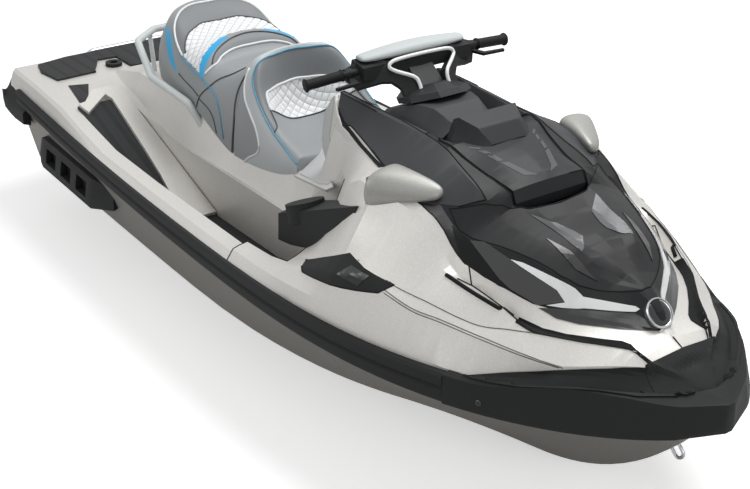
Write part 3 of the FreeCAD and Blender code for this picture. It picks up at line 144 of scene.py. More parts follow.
def brushed_metal(name, colour, roughness, lines=(24.0, 24.0, 1560.0)):
    """Ground or cast metal; the lines say how often per metre its grain changes along each axis."""
    material, tree, shader, place = start_material(
        name, Base_Color=linear(colour), Metallic=1.0, Roughness=roughness)
    stretched = add(tree, "ShaderNodeMapping", {"Scale": lines}, {"Vector": place})
    noise = add(tree, "ShaderNodeTexNoise", {"Scale": 1.0, "Detail": 3.0}, {"Vector": stretched.outputs[0]})
    bump = add(tree, "ShaderNodeBump", {"Strength": 0.08, "Distance": 0.001}, {"Height": noise.outputs[0]})
    tree.links.new(bump.outputs[0], shader.inputs["Normal"])
    return material


def foam_mat(name, colour, groove_colour, groove_mm=56.55):
    """Closed-cell foam, dull, with routed grooves; a wave of scale 1 turns 20 radians in a metre."""
    material, tree, shader, place = start_material(name, Roughness=0.85)
    scale = 2 * math.pi * 1000 / groove_mm / 20
    grooves = add(tree, "ShaderNodeTexWave", {"bands_direction": "Y", "Scale": scale}, {"Vector": place})
    edge = add(tree, "ShaderNodeValToRGB", links={"Fac": grooves.outputs["Fac"]})
    edge.color_ramp.elements[0].position = 0.18
    edge.color_ramp.elements[1].position = 0.34
    shade = add(tree, "ShaderNodeMix", {"data_type": "RGBA", 6: linear(groove_colour), 7: linear(colour)},
                {0: edge.outputs[0]})
    bump = add(tree, "ShaderNodeBump", {"Strength": 0.5, "Distance": 0.002}, {"Height": edge.outputs[0]})
    tree.links.new(shade.outputs[2], shader.inputs["Base Color"])
    tree.links.new(bump.outputs[0], shader.inputs["Normal"])
    return material


def vinyl(name, colour, roughness=0.5, grain_mm=1.6):
    """Marine vinyl: a pressed leather grain with a soft sheen."""
    material, tree, shader, place = start_material(
        name, Base_Color=colour, Roughness=roughness, Sheen_Weight=0.15)
    grain = add(tree, "ShaderNodeTexVoronoi", {"Scale": 1000 / grain_mm}, {"Vector": place})
    bump = add(tree, "ShaderNodeBump", {"Strength": 0.12, "Distance": 0.001},
               {"Height": grain.outputs["Distance"]})
    tree.links.new(bump.outputs[0], shader.inputs["Normal"])
    return material


# Shading of the frame's own pieces

def started_group(name, *inputs):
    """New group of geometry nodes; gives back its input node and the mesh with its triangles joined."""
    tree = bpy.data.node_groups.new(name, "GeometryNodeTree")
    tree.interface.new_socket("Geometry", in_out="INPUT", socket_type="NodeSocketGeometry")
    for label, kind in inputs:
        tree.interface.new_socket(label, in_out="INPUT", socket_type=kind)
    tree.interface.new_socket("Geometry", in_out="OUTPUT", socket_type="NodeSocketGeometry")
    source = add(tree, "NodeGroupInput")
    mesh = add(tree, "GeometryNodeMergeByDistance", {"Distance": MERGE}, {"Geometry": source.outputs[0]})
    return tree, source, mesh


def edge_shading():
    """Geometry nodes that join a node's loose triangles and keep only its real edges sharp."""
    tree, source, mesh = started_group("Shade by edge angle", ("Edge angle", "NodeSocketFloat"))
    smooth = add(tree, "GeometryNodeSetShadeSmooth", {"domain": "FACE"}, {"Geometry": mesh.outputs[0]})
    angle = add(tree, "GeometryNodeInputMeshEdgeAngle")
    sharp = add(tree, "FunctionNodeCompare", {"operation": "GREATER_THAN"},
                {0: angle.outputs[0], 1: source.outputs[1]})
    edges = add(tree, "GeometryNodeSetShadeSmooth", {"domain": "EDGE", "Shade Smooth": False},
                {"Geometry": smooth.outputs[0], "Selection": sharp.outputs[0]})
    add(tree, "NodeGroupOutput", links={0: edges.outputs[0]})
    return tree


def use_group(piece, label, tree, **settings):
    """Put a group of geometry nodes on a piece, with its named inputs."""
    modifier = piece.modifiers.new(label, "NODES")
    modifier.node_group = tree
    for name, value in settings.items():
        modifier[tree.interface.items_tree[name.replace("_", " ")].identifier] = value


def bevelled(piece, width, degrees=30.0):
    """Round the edges of a piece that are sharper than an angle."""
    rounding = piece.modifiers.new("Edges", "BEVEL")
    rounding.width = width
    rounding.segments = 2
    rounding.limit_method = "ANGLE"
    rounding.angle_limit = math.radians(degrees)
    return rounding


def dress(node, material, degrees, radius):
    """Give a frame node its finish, its shading and a small radius on its edges."""
    piece = NODES[node]
    piece.data.materials.clear()
    piece.data.materials.append(material)
    tree = bpy.data.node_groups.get("Shade by edge angle") or edge_shading()
    use_group(piece, "Shading", tree, Edge_angle=math.radians(degrees))
    if radius:
        bevelled(piece, radius, degrees).harden_normals = True


# Shapes

def settle(piece):
    """Turn a piece with modifiers into a plain mesh."""
    graph = bpy.context.evaluated_depsgraph_get()
    finished = piece.evaluated_get(graph)
    mesh = bpy.data.meshes.new_from_object(finished, preserve_all_data_layers=True, depsgraph=graph)
    old = piece.data
    piece.modifiers.clear()
    piece.data = mesh
    mesh.name = piece.name
    bpy.data.meshes.remove(old)
    return piece


def placed(name, data):
    """New piece of the scene with a mesh."""
    piece = bpy.data.objects.new(name, data)
    bpy.context.scene.collection.objects.link(piece)
    return piece


def make_piece(name, shape, material, smooth=True):
    """New mesh piece from a shape of points and faces, with its normals turned outwards."""
    verts, faces = shape
    data = bpy.data.meshes.new(name)
    data.from_pydata([tuple(v) for v in verts], [], faces)
    mesh = bmesh.new()
    mesh.from_mesh(data)
    bmesh.ops.recalc_face_normals(mesh, faces=mesh.faces)
    mesh.to_mesh(data)
    mesh.free()
    for face in data.polygons:
        face.use_smooth = smooth
    data.materials.append(material)
    return placed(name, data)


def surface_of(*nodes):
    """Search tree over the surfaces of frame nodes."""
    verts, faces = [], []
    for node in nodes:
        mesh = NODES[node].data
        start = len(verts)
        verts += [v.co.copy() for v in mesh.vertices]
        faces += [[start + i for i in p.vertices] for p in mesh.polygons]
    return BVHTree.FromPolygons(verts, faces)


def flowing(points, step):
    """Points along a smooth curve through the given ones."""
    corners = [Vector(p) for p in points]
    corners = [corners[0] * 2 - corners[1]] + corners + [corners[-1] * 2 - corners[-2]]
    line = []
    for a, b, c, d in zip(corners, corners[1:], corners[2:], corners[3:]):
        count = max(2, int((c - b).length / step))
        for i in range(count):
            t = i / count
            line.append(0.5 * (2 * b + (c - a) * t + (2 * a - 5 * b + 4 * c - d) * t * t
                               + (3 * b - a - 3 * c + d) * t ** 3))
    return line + [corners[-2]]


def laid_on(points, tree):
    """Move points to the nearest places of a surface."""
    return [tree.find_nearest(point)[0] for point in points]


def rows_of_faces(count, sides):
    """Faces between rings of points, with a cap at each end."""
    faces = []
    for row in range(count - 1):
        for k in range(sides):
            a, b = row * sides + k, row * sides + (k + 1) % sides
            faces.append((a, b, b + sides, a + sides))
    return faces + [tuple(range(sides)), tuple(range((count - 1) * sides, count * sides))]


def tube_mesh(line, radius, sides):
    """Points and faces of a round bar along a line, with one radius or a list of them."""
    verts = []
    up = Vector((0, 0, 1))
    for i, point in enumerate(line):
        ahead = (line[min(i + 1, len(line) - 1)] - line[max(i - 1, 0)]).normalized()
        across = ahead.cross(up).normalized()
        over = across.cross(ahead)
        size = radius[i] if isinstance(radius, list) else radius
        for k in range(sides):
            turn = 2 * math.pi * k / sides
            verts.append(point + across * (size * math.cos(turn)) + over * (size * math.sin(turn)))
    return verts, rows_of_faces(len(line), sides)


def joined(*shapes):
    """Add lists of points and faces up to one."""
    verts, faces = [], []
    for some, flat in shapes:
        start = len(verts)
        verts += some
        faces += [tuple(start + i for i in f) for f in flat]
    return verts, faces


def both(shape):
    """A shape and its mirror image on the other side of the craft."""
    verts, faces = shape
    return joined(shape, ([Vector((v[0], -v[1], v[2])) for v in verts], faces))


def fixed(piece, body="craft"):
    """Let a piece move with a body."""
    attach(piece, body)
    return piece


def patch(outline, tree, lift, depth, step=0.012, facing=None, reach=0.15, hug=0.0):
    """Thin panel that lies on a surface inside an outline of points, as points and faces.

    The points of its net are a step apart. They are cast on the surface against the facing direction, from
    the reach above the outline's middle, or from no further than the hug off the outline's own height.
    """
    corners = [Vector(p) for p in outline]
    middle = sum(corners, Vector()) / len(corners)
    if facing is None:
        facing = sum((tree.find_nearest(p)[1] for p in corners + [middle] * 3), Vector())
    facing = Vector(facing).normalized()
    across = facing.orthogonal().normalized()
    over = facing.cross(across)
    flat = [Vector(((p - middle).dot(across), (p - middle).dot(over))) for p in corners]
    levels = [(p - middle).dot(facing) for p in corners]
    rim = []
    for a, b in zip(flat, flat[1:] + flat[:1]):
        count = max(1, int((b - a).length / step))
        rim += [a + (b - a) * (i / count) for i in range(count)]
    low = [min(p[k] for p in rim) for k in (0, 1)]
    high = [max(p[k] for p in rim) for k in (0, 1)]
    net = [Vector((low[0] + i * step, low[1] + j * step))
           for i in range(1, int((high[0] - low[0]) / step) + 1)
           for j in range(1, int((high[1] - low[1]) / step) + 1)]
    edges = [(i, (i + 1) % len(rim)) for i in range(len(rim))]
    points, borders, lids, *origins = delaunay_2d_cdt(rim + net, edges, [list(range(len(rim)))], 1, NET_MERGE)
    verts = []
    for point in points:
        spot = middle + across * point[0] + over * point[1]
        if hug:
            shares = [1 / ((point - corner).length_squared + TINY) for corner in flat]
            start = spot + facing * (sum(a * b for a, b in zip(shares, levels)) / sum(shares))
            place = tree.ray_cast(start + facing * hug, -facing, 2 * hug)[0] or start
        else:
            place = tree.ray_cast(spot + facing * reach, -facing)[0] or tree.find_nearest(spot)[0]
        verts.append(place + facing * lift)
    count = len(verts)
    verts += [v - facing * depth for v in verts]
    used = {(a, b) for face in lids for a, b in zip(face, face[1:] + face[:1])}
    walls = [(a, b, b + count, a + count) for a, b in sorted(used) if (b, a) not in used]
    return verts, lids + [[i + count for i in reversed(f)] for f in lids] + walls


def pair(outline, tree, lift, depth, facing=None, **settings):
    """The same panel on both sides, each laid on its own side of the surface."""
    shapes = []
    for side in (1, -1):
        points = [(p[0], p[1] * side, p[2]) for p in outline]
        towards = facing and (facing[0], facing[1] * side, facing[2])
        shapes.append(patch(points, tree, lift, depth, facing=towards, **settings))
    return joined(*shapes)


def turned(profile, centre, axis, sides):
    """Round piece from a profile of radius and height, standing on a point along an axis."""
    axis = Vector(axis).normalized()
    across = axis.orthogonal().normalized()
    over = axis.cross(across)
    verts = []
    for radius, height in profile:
        for k in range(sides):
            angle = 2 * math.pi * k / sides
            verts.append(Vector(centre) + axis * height
                         + (across * math.cos(angle) + over * math.sin(angle)) * radius)
    return verts, rows_of_faces(len(profile), sides)


def seal_tree():
    """Geometry nodes that lay a thin round seal along the sharp upper edges of a panel."""
    tree, source, mesh = started_group(
        "Seal along panel edges", ("Edge angle", "NodeSocketFloat"), ("Radius", "NodeSocketFloat"),
        ("Material", "NodeSocketMaterial"))
    angle = add(tree, "GeometryNodeInputMeshEdgeAngle")
    sharp = add(tree, "FunctionNodeCompare", {"operation": "GREATER_THAN"},
                {0: angle.outputs["Signed Angle"], 1: source.outputs[1]})
    normal = add(tree, "GeometryNodeInputNormal")
    height = add(tree, "ShaderNodeSeparateXYZ", links={0: normal.outputs[0]})
    upper = add(tree, "FunctionNodeCompare", {"operation": "GREATER_THAN", 1: UPPER}, {0: height.outputs[2]})
    chosen = add(tree, "FunctionNodeBooleanMath", {"operation": "AND"},
                 {0: sharp.outputs[0], 1: upper.outputs[0]})
    lines = add(tree, "GeometryNodeMeshToCurve",
                links={"Mesh": mesh.outputs[0], "Selection": chosen.outputs[0]})
    ring = add(tree, "GeometryNodeCurvePrimitiveCircle", {"Resolution": 6}, {"Radius": source.outputs[2]})
    seal = add(tree, "GeometryNodeCurveToMesh",
               links={"Curve": lines.outputs[0], "Profile Curve": ring.outputs[0]})
    real = add(tree, "GeometryNodeRealizeInstances", links={0: seal.outputs[0]})
    done = add(tree, "GeometryNodeSetMaterial",
               links={"Geometry": real.outputs[0], "Material": source.outputs[3]})
    add(tree, "NodeGroupOutput", links={0: done.outputs[0]})
    return tree


def seal_of(node, material, radius):
    """Seal round the panel of a frame node."""
    piece = placed(node + "_seal", NODES[node].data.copy())
    tree = bpy.data.node_groups.get("Seal along panel edges") or seal_tree()
    use_group(piece, "Seal", tree, Edge_angle=math.radians(SEAL_ANGLE), Radius=radius, Material=material)
    return settle(piece)


# Sizes and colours that a user would change

class HullSettings(bpy.types.PropertyGroup):
    light_flake: FloatVectorProperty(name="Light flake", description="Lighter flakes of the silver gelcoat",
                                     subtype="COLOR", size=3, default=tuple(linear("#DDDBD7")[:3]))
    seal_radius: FloatProperty(name="Seal radius", description="Radius of the seals round the panels",
                               default=0.002, unit="LENGTH")


class SeatSettings(bpy.types.PropertyGroup):
    blue: FloatVectorProperty(name="Blue", description="Colour of the crescent and side strip",
                              subtype="COLOR", size=3, default=tuple(linear("#12A0D6")[:3]))
    quilt_square: FloatProperty(name="Quilt square", description="Distance between stitch lines",
                                default=0.036, unit="LENGTH")


class StageSettings(bpy.types.PropertyGroup):
    floor_size: FloatProperty(name="Floor size", description="Side of the square floor", default=60.0,
                              unit="LENGTH")


# The finishes of the rigid pieces

SILVER = "Silver metal flake gelcoat"
BLACK = "Black moulded polypropylene"
FOAM = "Grooved black foam"
STEEL = "Brushed stainless steel"


def finishes(settings):
    """Material, angle of the edges that stay sharp, radius of the edges, and the frame nodes with these."""
    silver = gelcoat(SILVER, (*settings.light_flake, 1.0), linear("#BFBDB8"))
    taupe = gelcoat("Taupe metal flake gelcoat", linear("#827F79"), linear("#67645E"))
    satin = painted("Dark grey satin paint", "#1F2022", 0.5, 0.05)
    gloss = painted("Black gloss paint", "#141517", 0.5, 0.05)
    texture = moulded_plastic("Dark grey moulded ABS", "#38393B")
    black = moulded_plastic(BLACK, "#1C1D1E", 0.6)
    mat = foam_mat(FOAM, "#212224", "#121314")
    steel = brushed_metal(STEEL, "#BDBFC1", 0.25)
    cast = brushed_metal("Cast aluminium", "#9FA1A3", 0.45, (360.0, 360.0, 360.0))
    pad = vinyl("Pale grey soft vinyl", linear("#C5CCCB"), 0.55)
    return (
        (taupe, 16, 0.0, "hull"),
        (silver, 18, 0.0, "deck"),
        (silver, 14, 0.0, "bow_deck", "nose_panel"),
        (gloss, 14, 0.0, "hood", "front_body"),
        (satin, 14, 0.0, "storage_lid"),
        (satin, 30, 0.002, "gauge_pod", "steering_neck"),
        (texture, 14, 0.0, "centre_body"),
        (texture, 25, 0.001, "glovebox_lid"),
        (texture, 28, 0.001, "side_consoles"),
        (texture, 30, 0.002, "column_cover"),
        (black, 25, 0.0, "dash"),
        (black, 28, 0.0, "bow_bumper"),
        (black, 28, 0.001, "side_vents"),
        (black, 30, 0.0, "storage_bin", "gauge", "side_rails"),
        (black, 30, 0.001, "ladder_brackets"),
        (black, 30, 0.002, "stern_bumpers", "sponsons", "bar_cover", "speaker_pods"),
        (black, 35, 0.001, "levers", "sockets"),
        (black, 40, 0.0, "handlebar"),
        (mat, 30, 0.0, "footwell_mats", "stern_mat"),
        (steel, 30, 0.0, "mirror_glass"),
        (steel, 35, 0.0, "impeller"),
        (steel, 40, 0.0, "hull_eyes", "boarding_ladder"),
        (cast, 30, 0.001, "ride_plate", "intake_grate"),
        (cast, 30, 0.002, "engine_block"),
        (cast, 35, 0.0, "pump_housing", "steering_nozzle", "reverse_gate"),
        (pad, 40, 0.0, "grab_handle"),
    )


class WATERCRAFT_OT_rigid_finishes(bpy.types.Operator):
    """Give each rigid piece of the frame its finish"""
    bl_idname = "watercraft.rigid_finishes"
    bl_label = "Rigid pieces"

    def execute(self, context):
        for material, degrees, radius, *nodes in finishes(context.scene.watercraft_hull):
            for node in nodes:
                dress(node, material, degrees, radius)
        return {"FINISHED"}


# Seats

DRIVER_CAGE = metres([
    [(0, 214, 600), (4, 226, 632), (0, 212, 676), (-30, 165, 668), (-90, 80, 646), (-140, 0, 636)],
    [(-80, 233, 578), (-80, 241, 630), (-85, 216, 704), (-100, 172, 688), (-145, 80, 660), (-185, 0, 650)],
    [(-180, 238, 557), (-180, 245, 640), (-170, 218, 742), (-190, 172, 722), (-225, 80, 676), (-250, 0, 667)],
    [(-260, 241, 548), (-260, 245, 660), (-245, 216, 800), (-262, 165, 780), (-292, 80, 690), (-310, 0, 680)],
    [(-310, 242, 543), (-310, 243, 680), (-290, 206, 850), (-302, 155, 836), (-332, 80, 748), (-345, 0, 736)],
    [(-345, 242, 541), (-342, 240, 700), (-322, 188, 889), (-332, 132, 890), (-353, 75, 846), (-362, 0, 836)],
    [(-368, 242, 540), (-372, 238, 705), (-358, 170, 905), (-364, 120, 920), (-372, 70, 928), (-378, 0, 932)],
    [(-389, 242, 540), (-389, 238, 705), (-389, 168, 890), (-389, 115, 905), (-389, 70, 912),
     (-389, 0, 915)]])
PASSENGER_CAGE = metres([
    [(-392, 242, 540), (-392, 237, 700), (-392, 168, 868), (-392, 120, 884), (-392, 70, 888), (-392, 0, 890)],
    [(-470, 243, 565), (-470, 245, 700), (-470, 192, 822), (-470, 130, 838), (-470, 70, 842), (-470, 0, 842)],
    [(-560, 244, 607), (-560, 246, 720), (-560, 203, 803), (-560, 135, 814), (-560, 70, 816), (-560, 0, 816)],
    [(-620, 244, 635), (-620, 246, 728), (-600, 206, 808), (-618, 140, 812), (-628, 75, 816), (-632, 0, 818)],
    [(-650, 244, 648), (-645, 246, 738), (-615, 206, 838), (-640, 140, 862), (-655, 75, 874), (-660, 0, 878)],
    [(-700, 242, 652), (-690, 245, 748), (-665, 208, 842), (-685, 140, 876), (-700, 75, 894), (-706, 0, 898)],
    [(-760, 238, 654), (-755, 244, 752), (-745, 207, 832), (-750, 142, 852), (-755, 75, 862), (-757, 0, 864)],
    [(-850, 231, 655), (-848, 240, 770), (-835, 203, 862), (-850, 142, 868), (-858, 75, 872), (-860, 0, 874)],
    [(-925, 222, 655), (-920, 232, 790), (-895, 192, 912), (-912, 132, 912), (-925, 75, 910), (-930, 0, 910)],
    [(-990, 205, 655), (-985, 216, 790), (-955, 170, 925), (-975, 120, 946), (-990, 70, 955), (-998, 0, 958)],
    [(-1040, 182, 656), (-1045, 188, 760), (-1030, 142, 880), (-1042, 100, 898), (-1050, 60, 905),
     (-1052, 0, 908)]])


def seat_surface(name, cage):
    """Subdivided skin over half a cage of rows; its UV map holds row and column of every point."""
    mesh = bmesh.new()
    uv = mesh.loops.layers.uv.new("Seat")
    under = mesh.faces.layers.int.new("Underside")
    grid, marks = [], {}
    for r, row in enumerate(cage):
        full = [(x, y, z, c) for c, (x, y, z) in enumerate(row)]
        full += [(x, -y, z, ACROSS - c) for x, y, z, c in reversed(full[:-1])]
        line = []
        for x, y, z, c in full:
            vertex = mesh.verts.new((x, y, z))
            marks[vertex] = (r, c)
            line.append(vertex)
        grid.append(line)
    for a, b in zip(grid, grid[1:]):
        for i in range(len(a) - 1):
            mesh.faces.new((a[i], b[i], b[i + 1], a[i + 1]))
        mesh.faces.new((a[-1], b[-1], b[0], a[0]))[under] = 1
    for line in (grid[0], list(reversed(grid[-1]))):
        mesh.faces.new(line)[under] = 1
    for face in mesh.faces:
        for loop in face.loops:
            loop[uv].uv = marks[loop.vert]
    crease = mesh.edges.layers.float.new("crease_edge")
    for line in (grid[0], grid[-1]):
        for a, b in zip(line, line[1:] + line[:1]):
            mesh.edges.get((a, b))[crease] = END_CREASE
    for a, b in zip(grid, grid[1:]):
        for k in (0, -1):
            mesh.edges.get((a[k], b[k]))[crease] = SKIRT_CREASE
    bmesh.ops.recalc_face_normals(mesh, faces=mesh.faces)
    data = bpy.data.meshes.new(name)
    mesh.to_mesh(data)
    mesh.free()
    piece = placed(name, data)
    smooth = piece.modifiers.new("Smooth", "SUBSURF")
    smooth.levels = smooth.render_levels = SEAT_LEVEL
    return settle(piece)


# Lines over one half of each seat skin, as (row, column); column 5 is the centre line

DRIVER_PIPING = [(0.08, 1.37), (0.88, 1.75), (1.73, 1.9), (2.52, 2.01), (3.5, 2.01), (4.46, 1.97),
                 (5.05, 2.04), (5.39, 2.36), (5.66, 3.18), (5.84, 4.29), (5.9, 5.2)]
DRIVER_QUILT_LOW = [(2.64, 2.71), (2.72, 4.4), (2.74, 5.2)]
DRIVER_QUILT_TOP = [(2.64, 2.71), (3.09, 2.74), (3.47, 2.82), (3.78, 3.14), (4.39, 3.88), (4.62, 4.64),
                    (4.65, 5.2)]
DRIVER_TAIL = [(1.75, 1.9), (1.73, 2.12), (1.91, 2.53), (2.64, 2.71)]
DRIVER_SHELL = [(4.5, 0), (2.84, 0.52), (2.44, 0.85), (2.48, 1.07), (2.92, 1.35), (3.79, 1.43), (5.11, 1.43),
                (5.98, 1.57), (6.47, 1.75), (6.5, 2.04)]
SHELL_REST = [(7.1, 5.2), (7.1, 2.04)]
MIDDLE_SEAM = [(0.11, 0.15), (0.06, 0.86), (0.17, 1.23), (0.21, 1.58), (0.1, 1.97)]
MIDDLE_BLUE = [(3.35, 1.46), (2.22, 1.42), (1.59, 1.25), (1.22, 0.99), (0.98, 0.67), (0.81, 0.25)]
MIDDLE_GREY = [(3.15, 0.68), (1.9, 0.67), (1.51, 0.46), (1.37, 0.18)]
REAR_SEAM = [(3.7, 0.2), (3.17, 0.75), (2.32, 1.39), (1.76, 1.93), (1.12, 2.28), (0.6, 2.6)]
ARCH_PIPING = [(3.4, 1.69), (3.2, 2.59), (3.46, 2.89), (3.63, 3.63), (3.63, 4.31), (3.6, 5.2)]
ARCH_TOP = [(3.44, 2.27), (3.86, 2.5), (4.15, 2.88), (4.35, 3.57), (4.48, 4.25), (4.55, 5.2)]
CRESCENT_IN = [(3.32, 1.45), (3.66, 1.68), (4.08, 2.13), (4.29, 2.77), (4.49, 3.3), (4.67, 4.03)]
CRESCENT_OUT = [(4.15, 1.47), (4.54, 1.69), (4.79, 2.09), (4.92, 2.66), (5.03, 3.16), (5.21, 3.82)]
QUILT_TOP = [(6.24, 1.88), (6.58, 2.15), (6.96, 2.67), (7.21, 3.38), (7.36, 3.97), (7.3, 5.2)]
SIDE_PIPING = [(7.78, 1.98), (7.43, 1.88), (6.76, 1.72), (5.99, 1.59), (4.76, 1.4), (3.35, 1.46)]
REAR_PIPING = [(6.34, 1.68), (6.69, 1.75), (7.23, 1.88), (7.73, 2.04), (8.14, 2.32), (8.52, 2.95),
               (8.68, 3.87), (8.61, 5.2)]
SIDE_STRIP = [(9.41, 1.75), (8.36, 1.49), (7.64, 1.2), (7.21, 0.98), (6.3, 0.94), (6.62, 1.07), (6.94, 1.29),
              (7.49, 1.66), (8.17, 1.78)]
SIDE_SEAM = [(6.28, 0.93), (5.1, 0.81), (3.44, 0.73)]

# Length of a row on each seat, and how the quilt swells between its stitch lines
DRIVER_ROW = 0.075
PASSENGER_ROW = 0.09
QUILT_DEPTH = 0.004
QUILT_SLOPE = 3.2
QUILT_CROWN = 0.6
QUILT_MEAN = 0.4

# Net of a seat skin: columns from edge to edge, creases of its ends and skirt, levels of subdivision
ACROSS = 10
END_CREASE = 0.75
SKIRT_CREASE = 0.7
SEAT_LEVEL = 4

# Points of a seam are this part of a row apart, and it stands this far off the skin
SEAM_STEP = 0.1
SEAM_LIFT = 0.0012


def inside(point, outline):
    """Whether a point lies inside a closed outline."""
    x, y = point
    found = False
    for (x0, y0), (x1, y1) in zip(outline, outline[1:] + outline[:1]):
        if (y0 > y) != (y1 > y) and x < x0 + (y - y0) * (x1 - x0) / (y1 - y0):
            found = not found
    return found


def half_place(mark):
    """Row and column of a point on the port half of a skin."""
    return mark[0], min(mark[1], ACROSS - mark[1])


def upholster(piece, base, panels):
    """Give each face of a skin the cover material of the first panel that it lies in."""
    mesh = piece.data
    mesh.materials.append(base)
    for material, outline in panels:
        mesh.materials.append(material)
    marks = mesh.uv_layers["Seat"].uv
    under = mesh.attributes["Underside"].data
    for face in mesh.polygons:
        face.use_smooth = True
        if under[face.index].value:
            continue
        corners = [half_place(marks[i].vector) for i in face.loop_indices]
        middle = [sum(c[k] for c in corners) / len(corners) for k in (0, 1)]
        for number, (material, outline) in enumerate(panels, 1):
            if inside(middle, outline):
                face.material_index = number
                break


def swell_quilt(piece, outline, row_length, square):
    """Swell the squares of a quilted panel between their stitch lines."""
    mesh = piece.data
    marks = {}
    under = mesh.attributes["Underside"].data
    for face in mesh.polygons:
        if not under[face.index].value:
            for index, loop in zip(face.vertices, face.loop_indices):
                marks[index] = mesh.uv_layers["Seat"].uv[loop].vector.copy()
    moved = []
    for index, mark in marks.items():
        vertex = mesh.vertices[index]
        if inside(half_place(mark), outline):
            along, across = mark[0] * row_length / square, vertex.co.y / square
            lines = [abs(v - round(v)) for v in (along + across, along - across)]
            swell = min(1.0, QUILT_SLOPE * min(lines)) ** QUILT_CROWN
            moved.append((vertex.index, vertex.co + vertex.normal * (QUILT_DEPTH * (swell - QUILT_MEAN))))
    for index, place in moved:
        mesh.vertices[index].co = place


def skin_map(piece):
    """Search tree over a skin's rows and columns, with the same face corners there and in space."""
    mesh = piece.data
    marks = mesh.uv_layers["Seat"].uv
    under = mesh.attributes["Underside"].data
    flat, solid, faces = [], [], []
    for face in mesh.polygons:
        if under[face.index].value:
            continue
        corners = [Vector((*marks[i].vector, 0)) for i in face.loop_indices]
        faces.append(tuple(range(len(flat), len(flat) + len(corners))))
        flat += corners
        solid += [mesh.vertices[i].co.copy() for i in face.vertices]
    return BVHTree.FromPolygons(flat, faces), flat, solid, faces


def on_skin(skin, line):
    """Places a little over the skin along a line of rows and columns."""
    tree, flat, solid, faces = skin
    places = []
    for point in flowing(line, SEAM_STEP):
        spot, normal, index, far = tree.find_nearest(point)
        a, b, c = faces[index][:3]
        place = barycentric_transform(spot, flat[a], flat[b], flat[c], solid[a], solid[b], solid[c])
        out = (solid[b] - solid[a]).cross(solid[c] - solid[a]).normalized()
        places.append(place + out * SEAM_LIFT)
    for turn in range(2):
        inner = [(a + b * 2 + c) / 4 for a, b, c in zip(places, places[1:], places[2:])]
        places = places[:1] + inner + places[-1:]
    return places


def seam(skin, line, radius):
    """Cord or stitched seam along a line of the skin and its mirror image."""
    port = [Vector((row, min(column, ACROSS / 2), 0)) for row, column in line]
    starboard = [Vector((p.x, ACROSS - p.y, 0)) for p in reversed(port)]
    lines = [port + starboard[1:]] if line[-1][1] > ACROSS / 2 else [port, starboard]
    return joined(*[tube_mesh(on_skin(skin, points), radius, 6) for points in lines])


def quilted_vinyl(name, row_length, square):
    """White vinyl with a diamond stitch, whose lines are pressed in and slightly darker."""
    material, tree, shader, place = start_material(name, Roughness=0.5, Sheen_Weight=0.15)
    marks = add(tree, "ShaderNodeUVMap", {"uv_map": "Seat"})
    rows = add(tree, "ShaderNodeSeparateXYZ", links={0: marks.outputs[0]})
    sides = add(tree, "ShaderNodeSeparateXYZ", links={0: place})
    along = add(tree, "ShaderNodeMath", {"operation": "MULTIPLY", 1: row_length / square},
                {0: rows.outputs[0]})
    across = add(tree, "ShaderNodeMath", {"operation": "MULTIPLY", 1: 1 / square}, {0: sides.outputs[1]})
    lines = []
    for kind in ("ADD", "SUBTRACT"):
        diagonal = add(tree, "ShaderNodeMath", {"operation": kind},
                       {0: along.outputs[0], 1: across.outputs[0]})
        wave = add(tree, "ShaderNodeMath", {"operation": "PINGPONG", 1: 0.5}, {0: diagonal.outputs[0]})
        lines.append(wave.outputs[0])
    near = add(tree, "ShaderNodeMath", {"operation": "MINIMUM"}, {0: lines[0], 1: lines[1]})
    edge = add(tree, "ShaderNodeValToRGB", links={"Fac": near.outputs[0]})
    edge.color_ramp.elements[0].position = 0.025
    edge.color_ramp.elements[1].position = 0.085
    shade = add(tree, "ShaderNodeMix", {"data_type": "RGBA", 6: linear("#B9BDBF"), 7: linear("#E8EAEB")},
                {0: edge.outputs[0]})
    bump = add(tree, "ShaderNodeBump", {"Strength": 0.4, "Distance": 0.002}, {"Height": edge.outputs[0]})
    tree.links.new(shade.outputs[2], shader.inputs["Base Color"])
    tree.links.new(bump.outputs[0], shader.inputs["Normal"])
    return material


